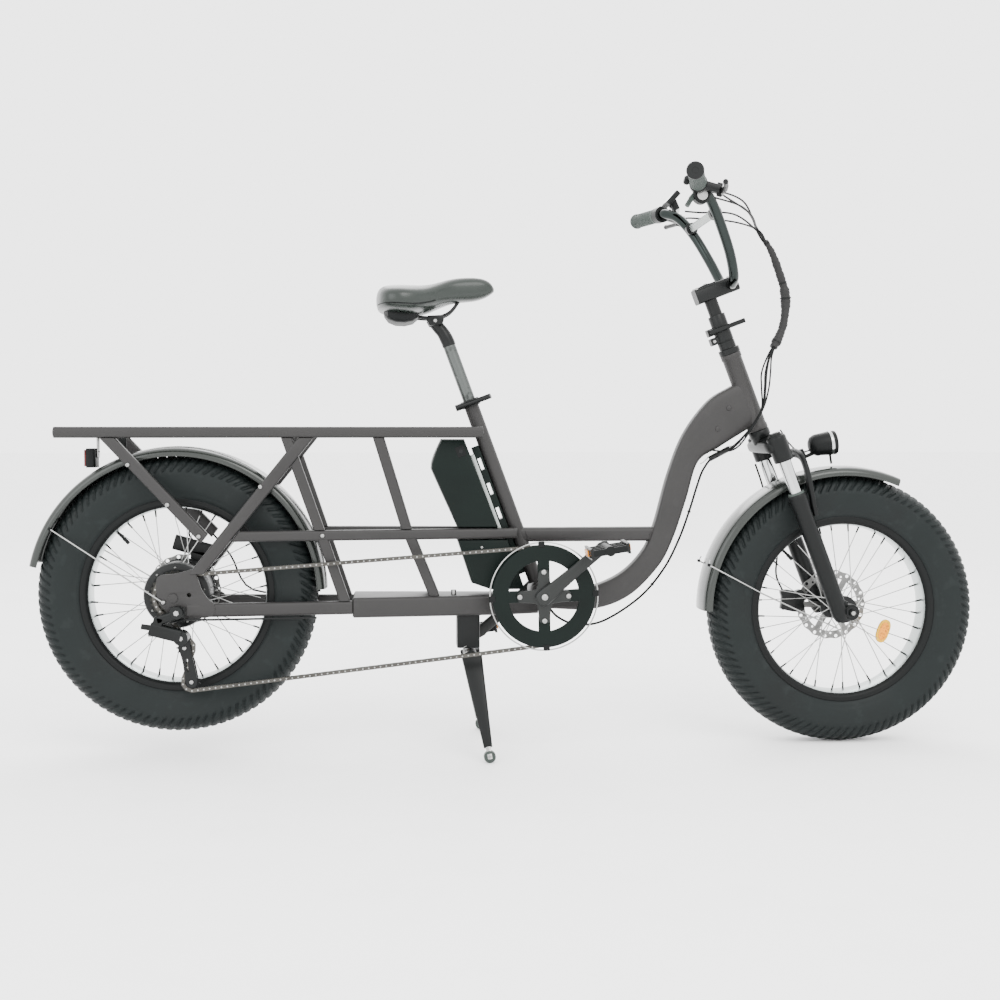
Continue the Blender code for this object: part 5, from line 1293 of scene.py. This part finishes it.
def build_fork():
    form = Form()
    form.rod(steer(0, 0, 0.38), steer(0, 0, HEAD_TOP - 0.008), 0.0143, 40)
    form.lathe([(0.0, 0.398), (0.0205, 0.398), (0.0215, 0.4), (0.0218, 0.412), (0.0235, 0.414),
        (0.0235, 0.426), (0.0215, 0.4282), (0.0, 0.4282)], steer(0, 0, 0), STEER_UP, 56)
    rings = []
    for y, wide, tall, rise in ((-0.094, 0.01, 0.008, -0.002), (-0.086, 0.02, 0.014, -0.001),
            (-0.06, 0.021, 0.015, 0.0), (-0.03, 0.0225, 0.0165, 0.001), (0.0, 0.0235, 0.0175, 0.002),
            (0.03, 0.0225, 0.0165, 0.001), (0.06, 0.021, 0.015, 0.0), (0.086, 0.02, 0.014, -0.001),
            (0.094, 0.01, 0.008, -0.002)):
        ring = []
        for k in range(28):
            t = 2.0 * math.pi * k / 28
            c, s = math.cos(t), math.sin(t)
            ring.append(steer(0.004 + wide * math.copysign(abs(c) ** 0.7, c), y,
                0.39 + rise + tall * math.copysign(abs(s) ** 0.7, s)))
        rings.append(ring)
    form.loft(rings)
    for side in (-1, 1):
        leg = steer(LEG_LEAD, side * LEG_Y, 0)
        form.lathe([(0.0142, 0.352), (0.0205, 0.352), (0.0215, 0.355), (0.0215, 0.404), (0.0205, 0.4075),
            (0.0165, 0.4095), (0.016, 0.4118), (0.0, 0.4118)], leg, STEER_UP, 48)
        form.lathe([(0.013, 0.4118), (0.013, 0.415), (0.0115, 0.4165), (0.006, 0.4165), (0.0055, 0.415),
            (0.0, 0.415)], leg, STEER_UP, 24, 2)
        form.lathe([(0.014, 0.176), (0.014, 0.352)], leg, STEER_UP, 48, 1)
    form.make("fork_crown_stanchions", "steering", [FORK_BLACK, CHROME, BLACK], ["fork_crown"],
        sharp=50.0)

    form = Form()
    for side in (-1, 1):
        leg = steer(LEG_LEAD, side * LEG_Y, -0.025)
        form.lathe([(0.0, 0.0), (0.012, 0.0005), (0.015, 0.004), (0.0185, 0.018), (0.019, 0.15),
            (0.019, 0.262), (0.0198, 0.27), (0.0205, 0.276), (0.0205, 0.292), (0.0198, 0.297),
            (0.017, 0.3005), (0.0146, 0.3005)], leg, STEER_UP, 56)
        form.lathe([(0.0192, 0.293), (0.018, 0.297), (0.0185, 0.299), (0.0175, 0.303), (0.0146, 0.303)],
            leg, STEER_UP, 56, 2)
        lug = steer(AXLE_LEAD, side * 0.0655, AXLE_RISE)
        out = ACROSS * side
        form.lathe([(0.0, 0.0), (0.017, 0.0), (0.018, 0.001), (0.018, 0.025), (0.0165, 0.0275),
            (0.0, 0.0275)], lug, out, 40)
        form.lathe([(0.013, 0.0275), (0.013, 0.029), (0.0, 0.029)], lug, out, 32, 3)
        form.lathe([(0.0082, 0.029), (0.0082, 0.035), (0.007, 0.0365), (0.0, 0.0365)], lug, out, 6, 3)
        form.lathe([(0.0045, 0.036), (0.0045, 0.0385), (0.0, 0.039)], lug, out, 20, 1)
        form.bar(steer(LEG_LEAD, side * 0.08, 0.02), steer(AXLE_LEAD - 0.004, side * 0.08, 0.004), 0.02,
            0.02, corner=0.006)
    route = [steer(0.034, -0.08, 0.215), steer(0.04, -0.08, 0.25), steer(0.047, -0.079, 0.29),
        steer(0.053, -0.072, 0.322), steer(0.057, -0.05, 0.344), steer(0.058, 0.0, 0.351)]
    route += [mirrored(-1, point) for point in reversed(route[:-1])]
    path = spline(route, 8)
    rings = []
    for i, point in enumerate(path):
        way = (path[min(i + 1, len(path) - 1)] - path[max(i - 1, 0)]).normalized()
        thin = STEER_FORWARD - way * STEER_FORWARD.dot(way)
        thin.normalize()
        wide = way.cross(thin)
        ring = []
        for k in range(16):
            t = 2.0 * math.pi * k / 16
            c, s = math.cos(t), math.sin(t)
            ring.append(point + thin * (0.0062 * math.copysign(abs(c) ** 0.7,
                c)) + wide * (0.0105 * math.copysign(abs(s) ** 0.7, s)))
        rings.append(ring)
    form.loft(rings)
    centre = at(WHEELBASE, 0, FRONT_AXLE_Z)
    body = centre + Vector((-0.089, 0.056, 0.009))
    outline = [Vector((x, z, 0)) for x, z in ((-0.029, -0.018), (-0.026, 0.006), (-0.029, 0.022),
        (-0.014, 0.0255), (0.004, 0.0225), (0.018, 0.0255), (0.0285, 0.014), (0.024, -0.004),
        (0.027, -0.02), (0.01, -0.0255), (-0.012, -0.0225))]
    outline = [(p.x, p.y) for p in spline(outline + [outline[0]], 4)[:-1]]
    form.flat([outline], upright_plane(body.x, body.y, body.z), 0.0095, 0.003, 3)
    form.rod(body + Vector((-0.006, 0.0095, 0.004)), body + Vector((-0.006, 0.0165, 0.004)), 0.012, 32, 3)
    form.bar(centre + Vector((-0.085, 0.063, 0.01)), centre + Vector((-0.03, 0.069, 0.03)), 0.022, 0.008, 3,
        corner=0.002)
    for x, z in ((-0.108, 0.026), (-0.07, 0.026), (-0.108, -0.01)):
        form.bolt(centre + Vector((x, 0.0655, z)), ACROSS, 0.004, 0.0025)
    hose = [body + Vector((-0.022, 0.004, 0.022)), body + Vector((-0.036, 0.01, 0.06)),
        steer(-0.034, 0.078, 0.15), steer(-0.02, 0.09, 0.22), steer(-0.012, 0.093, 0.3),
        steer(-0.016, 0.07, 0.35)]
    form.tube(spline(hose, 8), 0.0023, 8, 4)
    form.make("fork_slider_legs", "fork_sliders", [FORK_BLACK, STEEL, GRIP, BLACK, CABLE], ["fork_lowers"],
        sharp=45.0)


# ---------------------------------------------------------------- cockpit

def grip_line(side, reach):
    tip = at(1.058, 0.33, 1.208)
    inner = at(1.092, 0.205, 1.205)
    return mirrored(side, tip + (inner - tip).normalized() * reach)


def build_stem():
    base = steer(0, 0, HEAD_TOP + 0.0003)
    form = Form()
    form.lathe([(0.0149, 0.0), (0.0225, 0.0), (0.0235, 0.001), (0.0235, 0.012), (0.0225, 0.013),
        (0.0193, 0.0135), (0.019, 0.015), (0.019, 0.029), (0.0182, 0.0296), (0.0182, 0.031),
        (0.019, 0.0316), (0.019, 0.056), (0.0182, 0.0566), (0.0182, 0.058), (0.019, 0.0586), (0.019, 0.09),
        (0.0185, 0.0913), (0.0149, 0.0913)], base, STEER_UP, 56, closed=True)
    for low in (0.64, 0.661):
        form.bar(steer(-0.0335, 0, low + 0.007), steer(-0.015, 0, low + 0.007), 0.0165, 0.022, corner=0.003)
        form.rod(steer(-0.026, -0.0135, low + 0.007), steer(-0.026, 0.0135, low + 0.007), 0.0036, 16, 1)
    form.make("stem_sleeve", "steering", [BLACK, STEEL], ["stem_post"])

    form = Form()
    lever = [steer(-0.03, -0.0165, 0.668), steer(0.0, -0.0246, 0.668), steer(0.028, -0.0318, 0.668),
        steer(0.048, -0.0372, 0.668)]
    form.tube(spline(lever, 6), [0.006] * 7 + [0.0052] * 12, 14)
    form.make("stem_lever", "quick_lever", [BLACK], ["post_lever"])

    form = Form()
    form.rod(steer(0, 0, 0.632), steer(0, 0, 0.745), 0.0145, 40)
    form.bar(steer(-0.031, 0, STEM_HEIGHT), steer(0.067, 0, STEM_HEIGHT), 0.034, 0.042, corner=0.007)
    form.bar(steer(-0.02, 0, STEM_HEIGHT + 0.0175), steer(0.02, 0, STEM_HEIGHT + 0.0175), 0.003, 0.03,
        corner=0.001)
    for y in (-0.014, 0.014):
        for x in (-0.024, 0.058):
            form.bolt(steer(x, y, STEM_HEIGHT + 0.0168), STEER_UP, 0.0042, 0.003)
    form.rod(steer(0, 0, STEM_HEIGHT + 0.015), steer(0, 0, STEM_HEIGHT + 0.02), 0.011, 28)
    form.bolt(steer(0, 0, STEM_HEIGHT + 0.019), STEER_UP, 0.0055, 0.003)
    form.make("stem_block", "cockpit", [BLACK, STEEL], ["stem"])


def build_bar():
    riser = [steer(BAR_LEAD, 0.034, STEM_HEIGHT), at(1.202, 0.064, 1.036), at(1.186, 0.092, 1.08),
        at(1.16, 0.118, 1.135), at(1.138, 0.14, 1.172), at(1.119, 0.161, 1.194), grip_line(1, 0.15)]
    half = spline(riser, 8) + [grip_line(1, 0.0)]
    whole = [mirrored(-1, point) for point in reversed(half)] + half
    form = Form()
    form.tube(whole, BAR_RADIUS, 28)
    height = at(1.147, 0, 1.16)
    form.bar(height - ACROSS * 0.126, height + ACROSS * 0.126, 0.018, 0.009, 1, corner=0.0035,
        side=STEER_FORWARD)
    for side in (-1, 1):
        spot = height + ACROSS * (side * 0.118)
        form.bar(spot - ACROSS * 0.009, spot + ACROSS * 0.009, 0.026, 0.026, 2, corner=0.01,
            side=STEER_FORWARD)
    form.make("handlebar_tube", "cockpit", [GLOSS_BLACK, LIGHT_GREY, BLACK], ["handlebar"])

    ahead = Vector((0.966, 0.0, -0.259))
    for side, word in ((-1, "right"), (1, "left")):
        tip = grip_line(side, -0.003)
        along = (grip_line(side, 0.1) - grip_line(side, 0.0)).normalized()
        profile = [(0.0, 0.0), (0.015, 0.0), (0.0176, 0.002), (0.018, 0.0045)]
        height = 0.007
        while height < 0.104:
            profile += [(0.0166, height), (0.0166, height + 0.0016), (0.0158, height + 0.0022),
                (0.0158, height + 0.0036)]
            height += 0.0044
        profile += [(0.0176, 0.11), (0.0178, 0.116), (0.0165, 0.118), (0.0113, 0.118)]
        form = Form()
        form.lathe(profile[3:], tip, along, 48)
        form.lathe([(0.0, 0.0006), (0.006, 0.0006), (0.0064, 0.0), (0.015, 0.0), (0.0176, 0.002),
            (0.018, 0.0045)], tip, along, 48, 1)
        form.make("grip_sleeve_" + word, "cockpit", [GRIP, BLACK], ["grip_" + word],
            sharp=30.0)

        start = grip_line(side, 0.119)
        pin = start + along * 0.011 + ahead * 0.052
        form = Form()
        form.lathe([(0.0113, 0.0), (0.018, 0.0), (0.019, 0.001), (0.019, 0.021), (0.018, 0.022),
            (0.0113, 0.022)], start, along, 40, closed=True)
        form.bar(start + along * 0.011 + ahead * 0.012, start + along * 0.011 + ahead * 0.044, 0.018, 0.022,
            corner=0.005)
        form.rod(pin - LEVEL * 0.009, pin + LEVEL * 0.009, 0.004, 16, 1)
        form.bar(start + along * 0.011 + ahead * 0.04 + LEVEL * 0.0075, pin + LEVEL * 0.0075, 0.014, 0.003,
            corner=0.001)
        form.bar(start + along * 0.011 + ahead * 0.04 - LEVEL * 0.0075, pin - LEVEL * 0.0075, 0.014, 0.003,
            corner=0.001)
        form.rod(start + along * 0.02 + ahead * 0.032, start + along * 0.04 + ahead * 0.044, 0.0052, 16)
        form.bolt(start + along * 0.011 + LEVEL * 0.018, LEVEL, 0.0036, 0.0024)
        form.make("lever_perch_" + word, "cockpit", [BLACK, STEEL], ["control_" + word])

        reach = grip_line(side, 0.03) + ahead * 0.062
        blade = [pin - along * 0.002, pin - along * 0.022 + ahead * 0.006,
            pin.lerp(reach, 0.55) + ahead * 0.004, reach - along * 0.004, reach + along * 0.0]
        form = Form()
        form.tube(spline(blade, 8), [0.006] * 9 + [0.005] * 16 + [0.0046] * 4 + [0.0056] * 4, 14)
        form.make("brake_blade_" + word, word + "_brake_lever", [BLACK], ["brake_lever_" + word])

    start = grip_line(-1, 0.15)
    along = (grip_line(-1, 0.1) - grip_line(-1, 0.0)).normalized()
    down = Vector((-0.35, 0.0, -0.94))
    form = Form()
    form.lathe([(0.0113, -0.008), (0.0168, -0.008), (0.0175, -0.006), (0.0175, 0.01), (0.0168, 0.012),
        (0.0113, 0.012)], start, along, 36, closed=True)
    hub = start + down * 0.019 + ahead * 0.012
    form.rod(hub - ACROSS * 0.014, hub + ACROSS * 0.012, 0.0175, 36, 0, chamfer=0.003)
    form.rod(hub - ACROSS * 0.015, hub - ACROSS * 0.0135, 0.011, 32, 1)
    form.bar(start - ahead * 0.002, hub, 0.024, 0.018, corner=0.005)
    spot = grip_line(-1, 0.13)
    form.rod(spot + Vector((-0.01, 0, 0.003)), spot + Vector((-0.026, 0, 0.007)), 0.006, 16)
    form.rod(spot + Vector((-0.018, 0, 0.005)), spot + Vector((-0.03, 0, 0.008)), 0.0095, 20, chamfer=0.003)
    form.make("shifter_pod", "cockpit", [PLASTIC, STEEL], ())
    form = Form()
    blade = [start + down * 0.017, start + down * 0.032 - ACROSS * 0.004 - ahead * 0.006,
        start + down * 0.049 - ACROSS * 0.009 - ahead * 0.01]
    form.tube(spline(blade, 6), [0.006] * 7 + [0.0052] * 6, 12)
    form.make("shift_blade", "gear_lever", [GRIP], ["shift_lever"])

    form = Form()
    place = at(1.1, 0.118, 1.226)
    lean = Vector((0.012, 0, 0.0135))
    form.bar(place - lean, place + lean, 0.012, 0.062, corner=0.0045)
    face = lean.normalized().cross(ACROSS)
    if face.x > 0:
        face = -face
    form.bar(place - lean * 0.8 + face * 0.0058, place + lean * 0.8 + face * 0.0058, 0.0016, 0.052, 1,
        corner=0.0007)
    form.bar(place - face * 0.004, place - face * 0.016 - LEVEL * 0.012, 0.016, 0.018, 0, corner=0.004)
    form.make("display_unit", "cockpit", [PLASTIC, SCREEN], ["display"])

    form = Form()
    spot = grip_line(1, 0.158) + Vector((0.016, 0.0, 0.01))
    form.lathe([(0.0, 0.0155), (0.007, 0.0148), (0.013, 0.0115), (0.0165, 0.006), (0.0175, 0.0),
        (0.016, 0.0), (0.0, 0.0)], spot, Vector((0.75, 0.0, 0.66)), 40, 0)
    form.rod(spot - Vector((0.004, 0, 0.004)), spot - Vector((0.016, 0, 0.012)), 0.005, 16, 1)
    form.make("bell", "cockpit", [CHROME, PLASTIC], ())


def build_cables():
    """Cables gather in a wrap ahead of the stem, then run down the main tube to the drive."""
    wrap_top = at(1.283, -0.018, 1.116)
    wrap = [wrap_top, at(1.3, -0.014, 1.09), at(1.318, -0.006, 1.05), at(1.332, -0.002, 1.01),
        at(1.3355, 0.0, 0.975), at(1.33, -0.004, 0.935), at(1.318, -0.01, 0.905), at(1.304, -0.017, 0.882)]
    wrap_end = wrap[-1]
    form = Form()
    path = spline(wrap, 10)
    radii = []
    for i in range(len(path)):
        share = i / (len(path) - 1)
        thick = 0.0055 + 0.0035 * min(1.0, share * 4.0) + (0.002 if 0.42 < share < 0.6 else 0.0)
        thick += 0.002 * max(0.0, 1.0 - abs(share - 0.9) / 0.08)
        radii.append(thick + 0.0006 * math.sin(i * 2.4) + 0.0004 * math.sin(i * 0.9))
    form.tube(path, radii, 20)
    for share in (0.04, 0.38, 0.5, 0.94):
        i = int(share * (len(path) - 1))
        i = max(1, min(i, len(path) - 2))
        way = (path[i + 1] - path[i - 1]).normalized()
        form.lathe([(radii[i] + 0.0002, -0.0018), (radii[i] + 0.0011, -0.0014), (radii[i] + 0.0011, 0.0014),
            (radii[i] + 0.0002, 0.0018)], path[i], way, 24, 1)
    item = form.make("cable_wrap_sleeve", None, [WRAP, CABLE], ["cable_harness"])
    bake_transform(item)

    form = Form()
    ends = []
    for side in (-1, 1):
        along = (grip_line(side, 0.1) - grip_line(side, 0.0)).normalized()
        ahead = Vector((0.966, 0.0, -0.259))
        start = grip_line(side, 0.119) + along * 0.04 + ahead * 0.044
        ends.append((start, along + ahead * 0.4))
    ends.append((grip_line(-1, 0.158) + Vector((0.01, 0, -0.014)), Vector((0.6, 0.5, -0.1))))
    ends.append((at(1.132, 0.118, 1.2), Vector((0.7, -0.3, -0.1))))
    ends.append((grip_line(-1, 0.164) + Vector((0.012, 0, -0.006)), Vector((0.8, 0.3, 0.0))))
    for i, (start, way) in enumerate(ends):
        a = 2.0 * math.pi * i / len(ends)
        target = wrap_top + Vector((0.0, 0.0035 * math.cos(a), 0.0035 * math.sin(a)))
        lift = 0.012 + 0.006 * i
        route = [start, start + way.normalized() * 0.034, start.lerp(target,
            0.55) + LEVEL * lift + FORWARD * 0.012, target - Vector((0.016, 0.0, -0.02)),
            target + Vector((0.004, 0.001, -0.008))]
        form.tube(spline(route, 10), 0.0021, 8)
    form.make("upper_cables", "cockpit", [CABLE], ())

    form = Form()
    merge = at(1.165, -0.0265, 0.639)
    for i in range(4):
        a = 2.0 * math.pi * i / 4
        spread = Vector((0.01 * math.cos(a), 0.006 * math.sin(a), 0.0))
        small = Vector((0.0025 * math.cos(a), 0.0025 * math.sin(a), 0.0022 * math.sin(a + 1.0)))
        route = [wrap_end + small + Vector((0.003, 0, 0.006)), at(1.294, -0.022, 0.86) + spread * 0.5,
            at(1.285, -0.029, 0.825) + spread, at(1.282, -0.034, 0.79) + spread * 0.8,
            at(1.276, -0.037, 0.748) + small, at(1.254, -0.036, 0.708) + small,
            at(1.212, -0.033, 0.664) + small * 1.4 - LEVEL * (0.006 * (i % 2)), merge + small]
        if i == 3:
            route[-1] = at(1.152, -0.01, 0.656)
        form.tube(spline(route, 8), 0.002, 8)
    item = form.make("lower_cables", None, [CABLE], ())
    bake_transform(item)

    form = Form()
    run = [merge, at(1.147, -0.02, 0.61), at(1.136, -0.008, 0.572), at(1.121, -0.004, 0.52),
        at(1.098, -0.003, 0.456), at(1.064, -0.003, 0.39), at(1.01, -0.003, 0.327), at(0.93, -0.004, 0.276),
        at(0.87, -0.006, 0.268), at(0.826, -0.01, 0.286), at(0.8, -0.012, 0.316)]
    form.tube(spline(run, 10), 0.0026, 10)
    for share in (0.3, 0.55):
        path = spline(run, 10)
        i = int(share * (len(path) - 1))
        form.rod(path[i], path[i] + (path[i + 1] - path[i]).normalized() * 0.004, 0.004, 12)
    form.make("frame_cable", "frame", [CABLE], ())

    form = Form()
    start = at(1.152, -0.004, 0.628)
    end = at(1.224, -0.004, 0.666)
    way = end - start
    normal = way.orthogonal().normalized()
    other = way.normalized().cross(normal)
    coil = []
    turns = 22
    for k in range(turns * 10 + 1):
        a = 2.0 * math.pi * k / 10
        coil.append(start + way * (0.18 + 0.64 * k / (turns * 10)) + (
            normal * math.cos(a) + other * math.sin(a)) * 0.0052)
    form.tube(coil, 0.00125, 6)
    form.tube(spline([start - way * 0.1, start, coil[0]], 6), 0.0012, 8, 1)
    form.tube(spline([coil[-1], end, end + way * 0.16], 6), 0.0012, 8, 1)
    item = form.make("steering_damper_spring", None, [PLASTIC, STEEL], ())
    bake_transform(item)


studio()
build_frame()
build_deck()
build_side(-1, "right")
build_side(1, "left")
build_seat_and_battery()
build_saddle()
build_wheels()
build_hubs()
build_chain()
build_cranks()
build_derailleur()
build_stand()
build_fenders()
build_lights()
build_fork()
build_stem()
build_bar()
build_cables()
